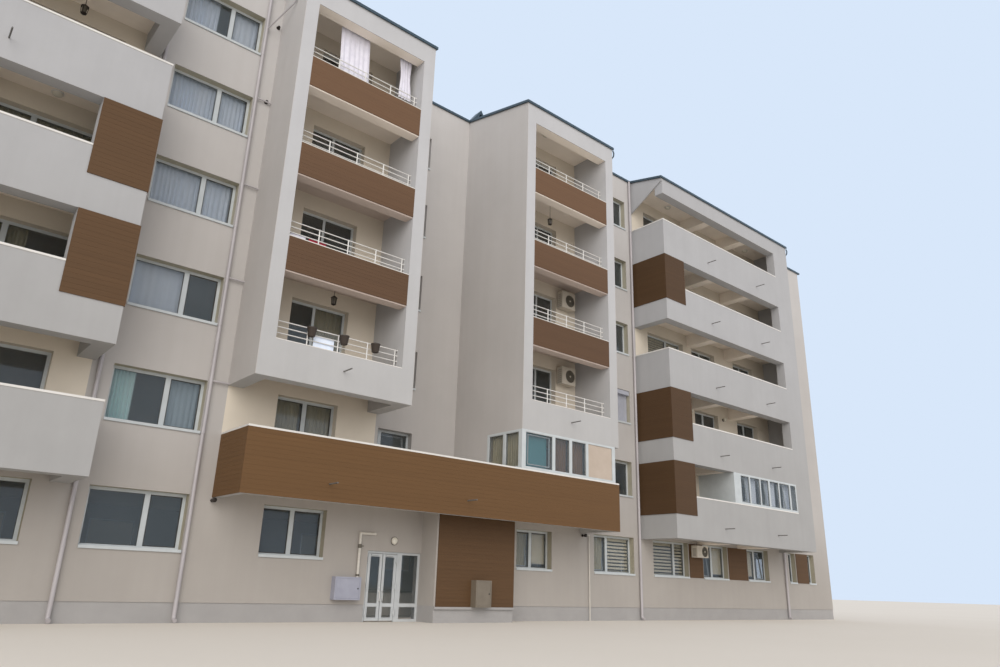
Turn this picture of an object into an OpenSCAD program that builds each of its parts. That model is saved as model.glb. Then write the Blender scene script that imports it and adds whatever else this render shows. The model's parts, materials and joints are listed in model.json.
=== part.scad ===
// Apartment block of six storeys with balcony stacks, framed loggias and a low pitched metal roof.
// Every size below is the real building's, in millimetres; the model is reduced by model_ratio.

/* [Model] */
// How many times smaller than the real building the model is
model_ratio = 2; // [2:1:20]

/* [Building] */
// Half of the building's length, from its middle to an end wall's outer face
half_length = 25600; // [24800:10:31000]
// Depth from the main front wall's face to the rear wall's face
depth = 12000; // [9500:50:15000]
// Height from one floor to the next
storey_h = 3000; // [2800:10:3600]
// Ground floor level above the pavement
ground_floor_z = 775; // [700:5:1000]
// Thickness of the outer walls
wall_t = 350; // [250:10:450]
// Thickness of the inner floors
floor_t = 200; // [150:10:300]
// How far the stair front stands back from the main front wall
recess_y = 1900; // [1200:10:2400]
// Half of the width of the stair front
recess_half = 2200; // [1800:10:2400]
// How far the balconies and loggias stand out from the main front wall
project_y = 1800; // [1500:10:2200]

/* [Openings] */
// Window sill above its floor
sill_h = 900; // [800:10:1000]
// Window and door head above its floor
head_h = 2300; // [2100:10:2400]
// Depth of the reveal in front of a window frame
reveal = 230; // [60:5:240]
// Depth of a window frame
frame_d = 80; // [60:5:100]
// Width of a window frame member
frame_w = 65; // [50:5:90]
// Width of a window's mullion with its two sash sides
mullion_w = 110; // [80:5:140]
// How far a window sill stands out in front of the wall
sill_out = 40; // [20:5:50]
// Thickness of a glass pane
glass_t = 24; // [16:2:36]

/* [Balcony stacks] */
// Inner end of a balcony stack, from the middle
stack_in = 10335; // [10200:5:10500]
// Outer end of a balcony stack, from the middle
stack_out = 21010; // [20700:10:21300]
// Outer end of a stack's openings, where its end column starts
stack_open = 19680; // [19500:10:19800]
// Bottom edge of a balcony parapet below its floor
parapet_drop = 725; // [500:5:725]
// Top edge of a balcony parapet above its floor
parapet_rise = 975; // [900:5:1100]
// Thickness of a balcony parapet
parapet_t = 200; // [120:10:250]
// Thickness of a balcony floor
balcony_t = 180; // [120:10:220]
// Width of the corner walls between two parapets
corner_w = 1350; // [1000:10:1600]
// Lower edge of a corner wall's brown boards above its floor
corner_boards_z = 200; // [100:10:400]
// Depth of the edge beam under a balcony parapet, front to back
edge_beam_t = 420; // [300:10:500]
// Width of the cross beams under a balcony floor
cross_beam_w = 450; // [300:10:600]
// Thickness of an end column, front to back
column_t = 420; // [300:10:500]

/* [Loggias] */
// Outer face of a loggia box, from the middle
loggia_out = 7020; // [6900:10:7100]
// Thickness of a loggia's side walls
loggia_side = 430; // [300:10:500]
// Top of a loggia's front upstand above its floor
upstand_rise = 335; // [250:5:450]
// Thickness of a loggia's front upstand
upstand_t = 400; // [300:10:450]
// Height of the steel railing above the upstand
railing_h = 620; // [500:10:750]
// Thickness of the brown cladding
cladding_t = 30; // [20:5:40]

/* [Roof] */
// Rise of the roof for each unit of depth
roof_slope = 0.25; // [0.1:0.01:0.3]
// Thickness of the roof at its edge
roof_t = 100; // [60:10:140]
// How far the roof stands out past the front and rear walls
roof_over = 60; // [30:5:100]
// How far the roof stands out past the end walls
gable_over = 200; // [60:10:300]
// Roof's top at a box's front above the top floor level
eave_rise = 115; // [80:5:250]

/* [Entrance] */
// Height of the entrance frame above the pavement
door_h = 1970; // [1900:10:2100]
// Right side of the entrance opening
door_x1 = -300; // [-400:10:-290]
// Width of an entrance leaf
leaf_w = 480; // [430:5:510]
// Gap between a leaf and the frame
leaf_gap = 12; // [12:1:16]
// Gap between the two leaves
meeting_gap = 26; // [24:1:30]
// Thickness of a leaf
leaf_t = 60; // [50:5:70]
// Top of the entrance hall's floor above the pavement
hall_floor_z = 100; // [60:10:160]

/* [Fittings] */
// How far a balcony's rain spout stands out of its parapet
spout_out = 450; // [250:10:500]
// Height of the plinth above the pavement
plinth_h = 470; // [400:10:550]

/* [Hidden] */

top = 6;
mid_y = (depth + roof_over - project_y - spout_out) / 2;
ridge_y = depth / 2;
round_fn = 32;

function level(n) = ground_floor_z + storey_h * n;

// Height of the roof's underside over a point at depth y
eave_z = level(top) + eave_rise;
function roof_top(y) = eave_z + roof_slope * (project_y + (y > ridge_y ? depth - y : y));
function roof_under(y) = roof_top(y) - roof_t;

// Brings the real sizes to the model's, with the origin under the middle of the building
module placed() {
    scale(1 / model_ratio)
        translate([0, -mid_y, 0])
            children();
}

// A box from one corner to the other
module box(a, b) {
    translate(a)
        cube([b[0] - a[0], b[1] - a[1], b[2] - a[2]]);
}

// A solid that runs along X, from an outline in depth and height
module along_x(x0, x1, outline) {
    translate([x0, 0, 0])
        rotate([90, 0, 90])
            linear_extrude(height = x1 - x0)
                polygon(outline);
}

// A wall along X whose top meets the roof
module wall_x(x0, x1, y0, y1, z0 = 0) {
    along_x(x0, x1, [[y0, z0], [y1, z0], [y1, roof_under(y1)], [y0, roof_under(y0)]]);
}

// Mirrors to the right half when side is 1
module on_side(side) {
    if (side > 0)
        children();
    else
        mirror([1, 0, 0])
            children();
}

// Windows, each as [low x, high x, sill, head, mullion as a share of the width]
strip_in = 7565;
strip_out = 9900;
strip_mullion = 8500;
function strip_window(n) = [strip_in, strip_out, level(n) + sill_h, level(n) + head_h,
    (strip_mullion - strip_in) / (strip_out - strip_in)];
stack_windows = [[11250, 13850, 0.6], [14500, 16350, 0.5], [17950, 19750, 0.5]];
stack_ground_windows = [[11100, 13450, 0.69], [14500, 16350, 0.5], [17950, 19750, 0.5]];
stack_door = stack_windows[1][0];
end_windows = [[21600, 22250, 0.5], [23450, 24100, 0.5]];
loggia_window = [3600, 4620];
loggia_door = [4620, 5500];
canopy_window = [3650, 5550];
ground_window_out = [5350, 5550];
ground_head = 2225;

// All openings on one half of the main front wall, side 1 for the right half; a share of 0 is a single pane
function half_windows(side) = concat(
    [for (n = [0 : top - 1]) strip_window(n)],
    [for (n = [0 : top - 1]) for (w = concat(n > 0 ? stack_windows : stack_ground_windows, end_windows))
        [w[0], w[1], level(n) + (n > 0 && w[0] == stack_door ? 0 : sill_h), level(n) + head_h, w[2]]],
    [for (n = [2 : top - 1])
        [loggia_window[0], loggia_window[1] + frame_w, level(n) + sill_h, level(n) + head_h, 0]],
    [for (n = [2 : top - 1]) [loggia_door[0], loggia_door[1], level(n), level(n) + head_h, 0]],
    [[canopy_window[0], canopy_window[1], level(1) + sill_h, level(1) + head_h, 0.5]],
    [[canopy_window[0], ground_window_out[side > 0 ? 0 : 1], level(0) + sill_h, level(0) + ground_head, 0.5]]
);
stair_window_x = [-1350, 330];
function stair_windows() = [for (n = [1 : top - 1])
    [stair_window_x[0], stair_window_x[1], level(n) + sill_h, level(n) + head_h, 0.3]];
rear_bays = 12;
rear_window_w = 1600;
rear_pitch = 2 * half_length / rear_bays;
function rear_windows() = [for (n = [0 : top - 1]) for (i = [0 : rear_bays - 1])
    let (x = -half_length + rear_pitch * (i + 0.5))
        [x - rear_window_w / 2, x + rear_window_w / 2, level(n) + sill_h, level(n) + head_h, 0.5]];
end_window_w = 1200;
end_window_y = [depth * 0.3, depth * 0.7];
function side_windows() = [for (n = [0 : top - 1]) for (y = end_window_y)
    [y - end_window_w / 2, y + end_window_w / 2, level(n) + sill_h, level(n) + head_h, 0.5]];

// Holes for windows in a wall that faces -Y at face_y
module window_holes(list, face_y) {
    for (w = list)
        box([w[0], face_y - 1, w[2]], [w[1], face_y + wall_t + 1, w[3]]);
}

// The panes of a window, each as [low x, high x]
function panes(w) = w[4] == 0
    ? [[w[0] + frame_w, w[1] - frame_w]]
    : let (mid = w[0] + (w[1] - w[0]) * w[4])
        [[w[0] + frame_w, mid - mullion_w / 2], [mid + mullion_w / 2, w[1] - frame_w]];

// One window frame in a wall whose face is at y = 0, with its sill unless it is a door
sill_t = 30;
sill_drop = 40;
module window_frame(w) {
    union() {
        difference() {
            box([w[0], reveal, w[2]], [w[1], reveal + frame_d, w[3]]);
            for (x = panes(w))
                box([x[0], reveal - 1, w[2] + frame_w], [x[1], reveal + frame_d + 1, w[3] - frame_w]);
        }
        if (w[3] - w[2] < head_h) {
            box([w[0], 0, w[2]], [w[1], reveal + 1, w[2] + sill_t]);
            box([w[0], -sill_out, w[2] - sill_drop], [w[1], 0, w[2] + sill_t]);
        }
    }
}

// The panes of such a window
module window_panes(w) {
    glass_y = reveal + (frame_d - glass_t) / 2;
    for (x = panes(w))
        box([x[0], glass_y, w[2] + frame_w], [x[1], glass_y + glass_t, w[3] - frame_w]);
}

// The shallow step back of the plinth, along a wall whose face is at y = 0
plinth_in = 20;
module plinth_cut(x0, x1) {
    box([x0, -1, -1], [x1, plinth_in, plinth_h]);
}

// Floor inside the outer walls, from z0 to z1, with a notch of the given half width at its front
module floor_plate(z0, z1, notch_half) {
    inner = half_length - wall_t;
    difference() {
        box([-inner, wall_t, z0], [inner, depth - wall_t, z1]);
        box([-notch_half, 0, z0 - 1], [notch_half, recess_y + wall_t, z1 + 1]);
    }
}

// Raised ground floor on its filled base, open at the entrance hall
module ground_floor() {
    color("#9a9a98")
        placed()
            floor_plate(0, level(0), recess_half);
}

module hall_floor() {
    color("#9a9a98")
        placed()
            box([-recess_half, wall_t, 0], [recess_half, recess_y + wall_t, hall_floor_z]);
}

module upper_floors() {
    color("#a5a5a3")
        placed()
            for (n = [1 : top])
                floor_plate(level(n) - floor_t, level(n), recess_half + wall_t);
}

// Roof slab between two depths on one slope
function roof_strip(y0, y1) = [
    [y0, roof_under(y0)], [y1, roof_under(y1)], [y1, roof_top(y1)], [y0, roof_top(y0)]
];

module roof_front() {
    reach = half_length + gable_over;
    color("#46525c")
        placed()
            union() {
                along_x(-reach, reach, roof_strip(recess_y - roof_over, ridge_y));
                for (side = [-1, 1])
                    on_side(side) {
                        along_x(recess_half - roof_over, reach, roof_strip(-roof_over, recess_y));
                        along_x(recess_half - roof_over, loggia_out + roof_over,
                            roof_strip(-project_y - roof_over, 0));
                        along_x(stack_in - roof_over, stack_out + roof_over,
                            roof_strip(-project_y - roof_over, 0));
                    }
            }
}

module roof_rear() {
    reach = half_length + gable_over;
    color("#46525c")
        placed()
            along_x(-reach, reach, roof_strip(ridge_y, depth + roof_over));
}

module front_wall_half(side) {
    on_side(side)
        difference() {
            wall_x(recess_half, half_length, 0, wall_t);
            window_holes(half_windows(side), 0);
            plinth_cut(recess_half - 1, half_length + 1);
        }
}

module front_wall_left() {
    color("#c9c8c4")
        placed()
            front_wall_half(-1);
}

module front_wall_right() {
    color("#c9c8c4")
        placed()
            front_wall_half(1);
}

module stair_wall() {
    color("#c9c8c4")
        placed()
            difference() {
                wall_x(-recess_half - wall_t, recess_half + wall_t, recess_y, recess_y + wall_t,
                    level(1) - floor_t);
                window_holes(stair_windows(), recess_y);
            }
}

// The recess's side walls, from the main front wall back to the stair wall
module stair_side_walls() {
    color("#b9b8b6")
        placed()
            for (side = [-1, 1])
                on_side(side)
                    wall_x(recess_half, recess_half + wall_t, wall_t, recess_y, level(1) - floor_t);
}

// Wall over the entrance opening, which starts at the left front wall's end
door_x0 = -recess_half;
module entrance_lintel() {
    color("#c9c8c4")
        placed()
            box([door_x0, 0, door_h], [door_x1, wall_t, level(1) - floor_t]);
}

// Wall beside the entrance opening
module entrance_wall() {
    color("#c9c8c4")
        placed()
            box([door_x1, 0, 0], [recess_half, wall_t, level(1) - floor_t]);
}

module rear_wall() {
    color("#c9c8c4")
        placed()
            difference() {
                wall_x(-half_length, half_length, depth - wall_t, depth);
                window_holes(rear_windows(), depth - wall_t);
                in_rear_wall()
                    plinth_cut(-half_length - 1, half_length + 1);
            }
}

// Turns a piece of a wall that faces -Y so that it faces out of the rear wall
module in_rear_wall() {
    translate([0, depth, 0])
        mirror([0, 1, 0])
            children();
}

// Turns a piece of a wall that faces -Y so that it faces out of an end wall
module in_end_wall(side) {
    on_side(side)
        translate([half_length, 0, 0])
            rotate([0, 0, 90])
                children();
}

// A gable wall from front to rear, at the end of the given side
module end_wall(side) {
    on_side(side)
        difference() {
            along_x(half_length - wall_t, half_length,
                [[wall_t, 0], [depth - wall_t, 0], [depth - wall_t, roof_under(depth - wall_t)],
                    [ridge_y, roof_under(ridge_y)], [wall_t, roof_under(wall_t)]]);
            for (w = side_windows())
                box([half_length - wall_t - 1, w[0], w[2]], [half_length + 1, w[1], w[3]]);
            in_end_wall(1)
                plinth_cut(-1, depth + 1);
        }
}

module left_end_wall() {
    color("#c9c8c4")
        placed()
            end_wall(-1);
}

module right_end_wall() {
    color("#c9c8c4")
        placed()
            end_wall(1);
}

// Draws a window piece for every opening of the front
module for_front_windows(glass) {
    for (side = [-1, 1])
        on_side(side)
            for (w = half_windows(side))
                if (glass)
                    window_panes(w);
                else
                    window_frame(w);
    translate([0, recess_y, 0])
        for (w = stair_windows())
            if (glass)
                window_panes(w);
            else
                window_frame(w);
}

module front_window_frames() {
    color("#e6e6e3")
        placed()
            for_front_windows(false);
}

module front_window_glass() {
    color("#7d8c99")
        placed()
            for_front_windows(true);
}

module rear_window_frames() {
    color("#e6e6e3")
        placed()
            in_rear_wall()
                for (w = rear_windows())
                    window_frame(w);
}

module rear_window_glass() {
    color("#7d8c99")
        placed()
            in_rear_wall()
                for (w = rear_windows())
                    window_panes(w);
}

module end_window_frames() {
    color("#e6e6e3")
        placed()
            for (side = [-1, 1])
                in_end_wall(side)
                    for (w = side_windows())
                        window_frame(w);
}

module end_window_glass() {
    color("#7d8c99")
        placed()
            for (side = [-1, 1])
                in_end_wall(side)
                    for (w = side_windows())
                        window_panes(w);
}

// Flat brown panels on the wall between windows, each as [low x, high x]
panel_proud = 25;
ground_panels = [[13500, 14450], [16400, 17900]];
end_panel = [22300, 23400];
ground_panel_top = min(level(0) + head_h, level(1) - parapet_drop);
module wall_panels() {
    color("#5d4433")
        placed()
            for (side = [-1, 1])
                on_side(side) {
                    for (x = ground_panels)
                        box([x[0], -panel_proud, level(0) + sill_h], [x[1], 0, ground_panel_top]);
                    for (n = [0 : top - 1])
                        box([end_panel[0], -panel_proud, level(n) + sill_h],
                            [end_panel[1], 0, level(n) + head_h]);
                }
}

// Floors of a balcony stack and its top ceiling with the cross beams under them
cross_beams = [14150, 17200];
module balcony_floors(side) {
    on_side(side)
        for (n = [1 : top])
            union() {
                x0 = stack_in + (n < top ? parapet_t : cheek_t);
                box([x0, -project_y + column_t, level(n) - balcony_t], [stack_out - parapet_t, 0, level(n)]);
                box([x0, -project_y + parapet_t, level(n) - balcony_t],
                    [stack_open, -project_y + column_t, level(n)]);
                for (x = cross_beams)
                    box([x, -project_y + edge_beam_t, level(n) - parapet_drop],
                        [x + cross_beam_w, 0, level(n) - balcony_t]);
            }
}

module left_balcony_floors() {
    color("#8f8b84")
        placed()
            balcony_floors(-1);
}

module right_balcony_floors() {
    color("#8f8b84")
        placed()
            balcony_floors(1);
}

// Parapets of a balcony stack: a front and an inner return on each floor, on deeper edge beams
module balcony_parapets(side) {
    on_side(side)
        for (n = [1 : top - 1]) {
            z0 = level(n) - parapet_drop;
            z1 = level(n) - balcony_t;
            z2 = level(n) + parapet_rise;
            union() {
                difference() {
                    box([stack_in, -project_y, z1 - 1], [stack_open, 0, z2]);
                    box([stack_in + parapet_t, -project_y + parapet_t, z1 - 2], [stack_open + 1, 1, z2 + 1]);
                }
                difference() {
                    box([stack_in, -project_y, z0], [stack_open, 0, z1]);
                    box([stack_in + edge_beam_t, -project_y + edge_beam_t, z0 - 1],
                        [stack_open + 1, 1, z1 + 1]);
                }
            }
        }
}

module left_balcony_parapets() {
    color("#d2d1ce")
        placed()
            balcony_parapets(-1);
}

module right_balcony_parapets() {
    color("#d2d1ce")
        placed()
            balcony_parapets(1);
}

// End column, outer side wall, top fascia and thin inner cheek of a balcony stack
cheek_t = 60;
cheek_edge = 120;
cheek_in = 420;
module balcony_column(side) {
    z0 = level(1) - parapet_drop;
    fascia_z = level(top) - parapet_drop;
    beam_top = level(top) - balcony_t;
    on_side(side)
        union() {
            wall_x(stack_open, stack_out, -project_y, -project_y + column_t, z0);
            wall_x(stack_out - parapet_t, stack_out, -project_y + column_t, 0, z0);
            wall_x(stack_in + cheek_t, stack_open, -project_y, -project_y + parapet_t, fascia_z);
            box([stack_in + cheek_t, -project_y, fascia_z], [stack_open, -project_y + edge_beam_t, beam_top]);
            along_x(stack_in, stack_in + cheek_t,
                [[-project_y, roof_under(-project_y) - cheek_edge], [0, fascia_z - cheek_in],
                    [0, roof_under(0)], [-project_y, roof_under(-project_y)]]);
        }
}

module left_balcony_column() {
    color("#d2d1ce")
        placed()
            balcony_column(-1);
}

module right_balcony_column() {
    color("#d2d1ce")
        placed()
            balcony_column(1);
}

// The storeys on which a stack's inner corner is walled up to the next parapet
function corner_storeys(side) = side < 0 ? [2, 3] : [1, 2, 4];

// An upright angle at a stack's inner corner, between its outer faces and its inner faces
module corner_angle(outer, front, side, z0, z1) {
    difference() {
        box([stack_in - outer, -project_y - outer, z0], [stack_in + corner_w, 0, z1]);
        box([stack_in + side, -project_y + front, z0 - 1], [stack_in + corner_w + 1, 1, z1 + 1]);
    }
}

// Corner walls: a pier behind the front, down to the floor, with a thinner return to the main wall
module corner_walls() {
    color("#d2d1ce")
        placed()
            for (side = [-1, 1])
                on_side(side)
                    for (n = corner_storeys(side))
                        union() {
                            z1 = level(n + 1) - parapet_drop;
                            corner_angle(0, column_t, parapet_t, level(n) + parapet_rise, z1);
                            box([stack_in + parapet_t, -project_y + parapet_t, level(n)],
                                [stack_in + corner_w, -project_y + column_t, z1]);
                        }
}

// Brown boards over a corner wall and the upper half of the parapet below it
module corner_panels(side) {
    on_side(side)
        for (n = corner_storeys(side))
            corner_angle(panel_proud, 0, 0, level(n) + corner_boards_z, level(n + 1) - parapet_drop);
}

module left_corner_panels() {
    color("#6a4d39")
        placed()
            corner_panels(-1);
}

module right_corner_panels() {
    color("#6a4d39")
        placed()
            corner_panels(1);
}

// Side walls and top fascia of a loggia box
module loggia_frame(side) {
    z0 = level(2) - parapet_drop;
    fascia_z = level(top) - parapet_drop;
    on_side(side)
        union() {
            wall_x(recess_half, recess_half + loggia_side, -project_y, 0, z0);
            wall_x(loggia_out - loggia_side, loggia_out, -project_y, 0, z0);
            wall_x(recess_half + loggia_side, loggia_out - loggia_side, -project_y, -project_y + upstand_t,
                fascia_z);
        }
}

module left_loggia_frame() {
    color("#d2d1ce")
        placed()
            loggia_frame(-1);
}

module right_loggia_frame() {
    color("#d2d1ce")
        placed()
            loggia_frame(1);
}

// Floor with its front upstand on each storey of a loggia box, and the top storey's ceiling
module loggia_floors(side) {
    w = loggia_out - recess_half - 2 * loggia_side;
    on_side(side)
        for (n = [2 : top])
            translate([recess_half + loggia_side, 0, level(n)])
                union() {
                    skin = n > 2 ? cladding_t : 0;
                    box([0, -project_y + upstand_t, -balcony_t], [w, 0, 0]);
                    if (n < top)
                        box([0, -project_y + skin, -parapet_drop], [w, -project_y + upstand_t, upstand_rise]);
                }
}

module left_loggia_floors() {
    color("#c6c5c2")
        placed()
            loggia_floors(-1);
}

module right_loggia_floors() {
    color("#c6c5c2")
        placed()
            loggia_floors(1);
}

// Brown boards on the upstands of the three upper loggias, over a bare lower edge
bare_edge = 40;
module loggia_cladding(side) {
    on_side(side)
        for (n = [3 : top - 1])
            box([recess_half + loggia_side, -project_y, level(n) - parapet_drop + bare_edge],
                [loggia_out - loggia_side, -project_y + cladding_t, level(n) + upstand_rise]);
}

module left_loggia_cladding() {
    color("#6a4d39")
        placed()
            loggia_cladding(-1);
}

module right_loggia_cladding() {
    color("#6a4d39")
        placed()
            loggia_cladding(1);
}

// Steel railing on a loggia's upstand: posts and four rails
rail_r = 16;
post_r = 20;
rail_count = 4;
post_count = 5;
post_end = 80;
lowest_rail = 110;
railing_y = -project_y + upstand_t - 60;

module railing(w) {
    for (i = [0 : rail_count - 1])
        translate([0, 0, railing_h - i * (railing_h - lowest_rail) / (rail_count - 1) - rail_r])
            rotate([0, 90, 0])
                cylinder(r = rail_r, h = w, $fn = 8);
    for (i = [0 : post_count - 1])
        translate([(w - 2 * post_end) * i / (post_count - 1) + post_end, 0, 0])
            cylinder(r = post_r, h = railing_h - rail_r, $fn = 8);
}

module loggia_railings(side) {
    on_side(side)
        for (n = [2 : top - 1])
            translate([recess_half + loggia_side, railing_y, level(n) + upstand_rise])
                railing(loggia_out - recess_half - 2 * loggia_side);
}

module left_loggia_railings() {
    color("#e8e8e6")
        placed()
            loggia_railings(-1);
}

module right_loggia_railings() {
    color("#e8e8e6")
        placed()
            loggia_railings(1);
}

// Long first-floor balcony over the entrance
canopy_half = 7000;
canopy_coping_h = 50;

module canopy_floor() {
    color("#8f8b84")
        placed()
            union() {
                box([-canopy_half + parapet_t, -project_y + parapet_t, level(1) - floor_t],
                    [canopy_half - parapet_t, 0, level(1)]);
                box([-recess_half, 0, level(1) - floor_t], [recess_half, recess_y, level(1)]);
            }
}

module canopy_ring(out, t, z0, z1) {
    difference() {
        box([-out, -project_y - out + canopy_half, z0], [out, 0, z1]);
        box([-out + t, -project_y - out + canopy_half + t, z0 - 1], [out - t, 1, z1 + 1]);
    }
}

module canopy_parapet() {
    color("#c6c5c2")
        placed()
            canopy_ring(canopy_half - cladding_t, parapet_t - cladding_t, level(1) - parapet_drop,
                level(1) + parapet_rise - canopy_coping_h);
}

module canopy_cladding() {
    color("#6a4d39")
        placed()
            canopy_ring(canopy_half, cladding_t, level(1) - parapet_drop,
                level(1) + parapet_rise - canopy_coping_h);
}

module canopy_coping() {
    color("#e3e2de")
        placed()
            canopy_ring(canopy_half, parapet_t, level(1) + parapet_rise - canopy_coping_h,
                level(1) + parapet_rise);
}

// Small room beside the entrance whose front carries the brown panel
sign_x0 = door_x1;
sign_x1 = 2840;
sign_edge = 60;
ledge_t = 70;
ledge_out = 30;
sign_y = -820;
sign_wall_t = 200;
sign_base = 450;
module sign_walls() {
    z1 = level(1) - floor_t;
    color("#b9b8b6")
        placed()
            union() {
                difference() {
                    box([sign_x0, sign_y + cladding_t, 0], [sign_x1, 0, z1]);
                    box([sign_x0 + sign_wall_t, sign_y + cladding_t + sign_wall_t, -1],
                        [sign_x1 - sign_wall_t, 1, z1 + 1]);
                }
                box([sign_x0, sign_y - ledge_out, sign_base - ledge_t],
                    [sign_x1, sign_y + cladding_t + 1, sign_base]);
            }
}

module sign_panel() {
    color("#5d4433")
        placed()
            box([sign_x0 + sign_edge, sign_y, sign_base],
                [sign_x1, sign_y + cladding_t, level(1) - floor_t]);
}

// Glazed bays on the long balcony's parapet below the right loggia, and on the right stack's first parapet
garden_t = 100;
garden_rail = 70;
garden_corner = 170;
garden_post = 110;
garden_posts = [recess_half, 3620, 4440, 5270];
garden_end = 6800;
garden_panel = [5380, 6640];
garden_side = [[-project_y + garden_corner, -960], [-840, -90]];
garden_z0 = level(1) + parapet_rise;
garden_z1 = level(2) - parapet_drop;
stack_garden_x = 14500;
stack_garden_t = 80;
stack_garden_panes = [[15020, 15680], [15760, 16540], [16600, 17260], [17360, 18110], [18180, 19050],
    [19150, 19620]];
// The openings of the front bays, each as [low x, high x]
garden_panes = [for (i = [0 : 2])
    [garden_posts[i] + (i == 0 ? garden_corner : garden_post), garden_posts[i + 1]]];

module winter_garden_frame() {
    z0 = garden_z0 + garden_rail;
    z1 = garden_z1 - garden_rail;
    color("#ececea")
        placed() {
            difference() {
                box([recess_half, -project_y, garden_z0], [garden_end, 0, garden_z1]);
                box([recess_half + garden_t, -project_y + garden_t, garden_z0 - 1],
                    [garden_end - garden_t, 1, garden_z1 + 1]);
                for (x = garden_panes)
                    box([x[0], -project_y - 1, z0], [x[1], -project_y + garden_t + 1, z1]);
                box([garden_panel[0], -project_y - 1, z0], [garden_panel[1], -project_y + garden_t / 3, z1]);
                for (y = garden_side)
                    box([recess_half - 1, y[0], z0], [recess_half + garden_t + 1, y[1], z1]);
            }
            union() {
                difference() {
                    box([stack_garden_x, -project_y, garden_z0],
                        [stack_open, -project_y + stack_garden_t, garden_z1]);
                    for (x = stack_garden_panes)
                        box([x[0], -project_y - 1, z0], [x[1], -project_y + stack_garden_t + 1, z1]);
                }
                box([stack_garden_x, -project_y + stack_garden_t - 1, garden_z0],
                    [stack_garden_x + frame_w, 0, garden_z1]);
                box([stack_garden_x, -project_y + parapet_t, level(1)],
                    [stack_garden_x + frame_w, 0, garden_z0 + 1]);
            }
        }
}

module winter_garden_glass() {
    z0 = garden_z0 + garden_rail;
    z1 = garden_z1 - garden_rail;
    glass_y = -project_y + (garden_t - glass_t) / 2;
    glass_x = recess_half + (garden_t - glass_t) / 2;
    stack_glass_y = -project_y + (stack_garden_t - glass_t) / 2;
    color("#7d8c99")
        placed() {
            for (x = garden_panes)
                box([x[0], glass_y, z0], [x[1], glass_y + glass_t, z1]);
            for (y = garden_side)
                box([glass_x, y[0], z0], [glass_x + glass_t, y[1], z1]);
            for (x = stack_garden_panes)
                box([x[0], stack_glass_y, z0], [x[1], stack_glass_y + glass_t, z1]);
        }
}

// Entrance: a frame with two hinged leaves and a fixed sidelight
door_y = 60;
door_frame_w = 60;
pin_r = 14;
pin_play = 0.6;
knuckle_r = 26;
collar_r = 21;
knuckle_h = 120;
collar_h = 40;
collar_play = 1;
hinge_z = [260, 985, 1710];
hinge_y = door_y - knuckle_r;
leaf_z0 = 30;
leaf_z1 = door_h - door_frame_w - leaf_gap;
leaf_a_x0 = door_x0 + door_frame_w + leaf_gap;
leaf_b_x0 = leaf_a_x0 + leaf_w + meeting_gap;
post_x0 = leaf_b_x0 + leaf_w + leaf_gap;
post_w = 170;
hinge_a_x = leaf_a_x0 - leaf_gap / 2;
hinge_b_x = post_x0 - leaf_gap / 2;
leaf_stile = 75;
mid_rail = [420, 500];

// A box between two places on X that may come in either order
module box_between(xa, xb, y0, y1, z0, z1) {
    box([min(xa, xb), y0, z0], [max(xa, xb), y1, z1]);
}

// Hinge pins with the collars that hold them in front of the frame
module hinge_pins(x, side) {
    reach = knuckle_h / 2 + collar_play;
    for (z = hinge_z) {
        translate([x, hinge_y, z - reach - collar_h / 2])
            cylinder(r = pin_r, h = 2 * reach + collar_h, $fn = round_fn);
        for (z0 = [z - reach - collar_h, z + reach]) {
            translate([x, hinge_y, z0])
                cylinder(r = collar_r, h = collar_h, $fn = round_fn);
            box_between(x, x - side * 40, hinge_y, door_y + 1, z0, z0 + collar_h);
        }
    }
}

module entrance_frame() {
    fw = door_frame_w;
    color("#ececea")
        placed()
            union() {
                difference() {
                    box([door_x0, door_y, 0], [door_x1, door_y + leaf_t, door_h]);
                    box([door_x0 + fw, door_y - 1, -1], [post_x0, door_y + leaf_t + 1, door_h - fw]);
                    box([post_x0 + post_w, door_y - 1, fw], [door_x1 - fw, door_y + leaf_t + 1, mid_rail[0]]);
                    box([post_x0 + post_w, door_y - 1, mid_rail[1]],
                        [door_x1 - fw, door_y + leaf_t + 1, door_h - fw]);
                }
                hinge_pins(hinge_a_x, 1);
                hinge_pins(hinge_b_x, -1);
            }
}

// One leaf, open above and below its rail, with bored knuckles on its hinge side
module leaf(x0, hinge_x, side) {
    x1 = x0 + leaf_w;
    difference() {
        union() {
            difference() {
                box([x0, door_y, leaf_z0], [x1, door_y + leaf_t, leaf_z1]);
                box([x0 + leaf_stile, door_y - 1, leaf_z0 + leaf_stile],
                    [x1 - leaf_stile, door_y + leaf_t + 1, mid_rail[0]]);
                box([x0 + leaf_stile, door_y - 1, mid_rail[1]],
                    [x1 - leaf_stile, door_y + leaf_t + 1, leaf_z1 - leaf_stile]);
            }
            for (z = hinge_z) {
                translate([hinge_x, hinge_y, z - knuckle_h / 2])
                    cylinder(r = knuckle_r, h = knuckle_h, $fn = round_fn);
                box_between(hinge_x, hinge_x + side * 50, hinge_y, door_y + 1,
                    z - knuckle_h / 2, z + knuckle_h / 2);
            }
        }
        for (z = hinge_z)
            translate([hinge_x, hinge_y, z - knuckle_h])
                cylinder(r = pin_r + pin_play, h = 2 * knuckle_h, $fn = round_fn);
    }
}

module entrance_leaf_left() {
    color("#e4e4e1")
        placed()
            leaf(leaf_a_x0, hinge_a_x, 1);
}

module entrance_leaf_right() {
    color("#e4e4e1")
        placed()
            leaf(leaf_b_x0, hinge_b_x, -1);
}

// Panes between two sides, below and above the middle rail
door_glass_y = door_y + (leaf_t - glass_t) / 2;
module door_panes(x0, x1, z0, z1) {
    box([x0, door_glass_y, z0], [x1, door_glass_y + glass_t, mid_rail[0]]);
    box([x0, door_glass_y, mid_rail[1]], [x1, door_glass_y + glass_t, z1]);
}

module leaf_panes(x0) {
    door_panes(x0 + leaf_stile, x0 + leaf_w - leaf_stile, leaf_z0 + leaf_stile, leaf_z1 - leaf_stile);
}

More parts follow.
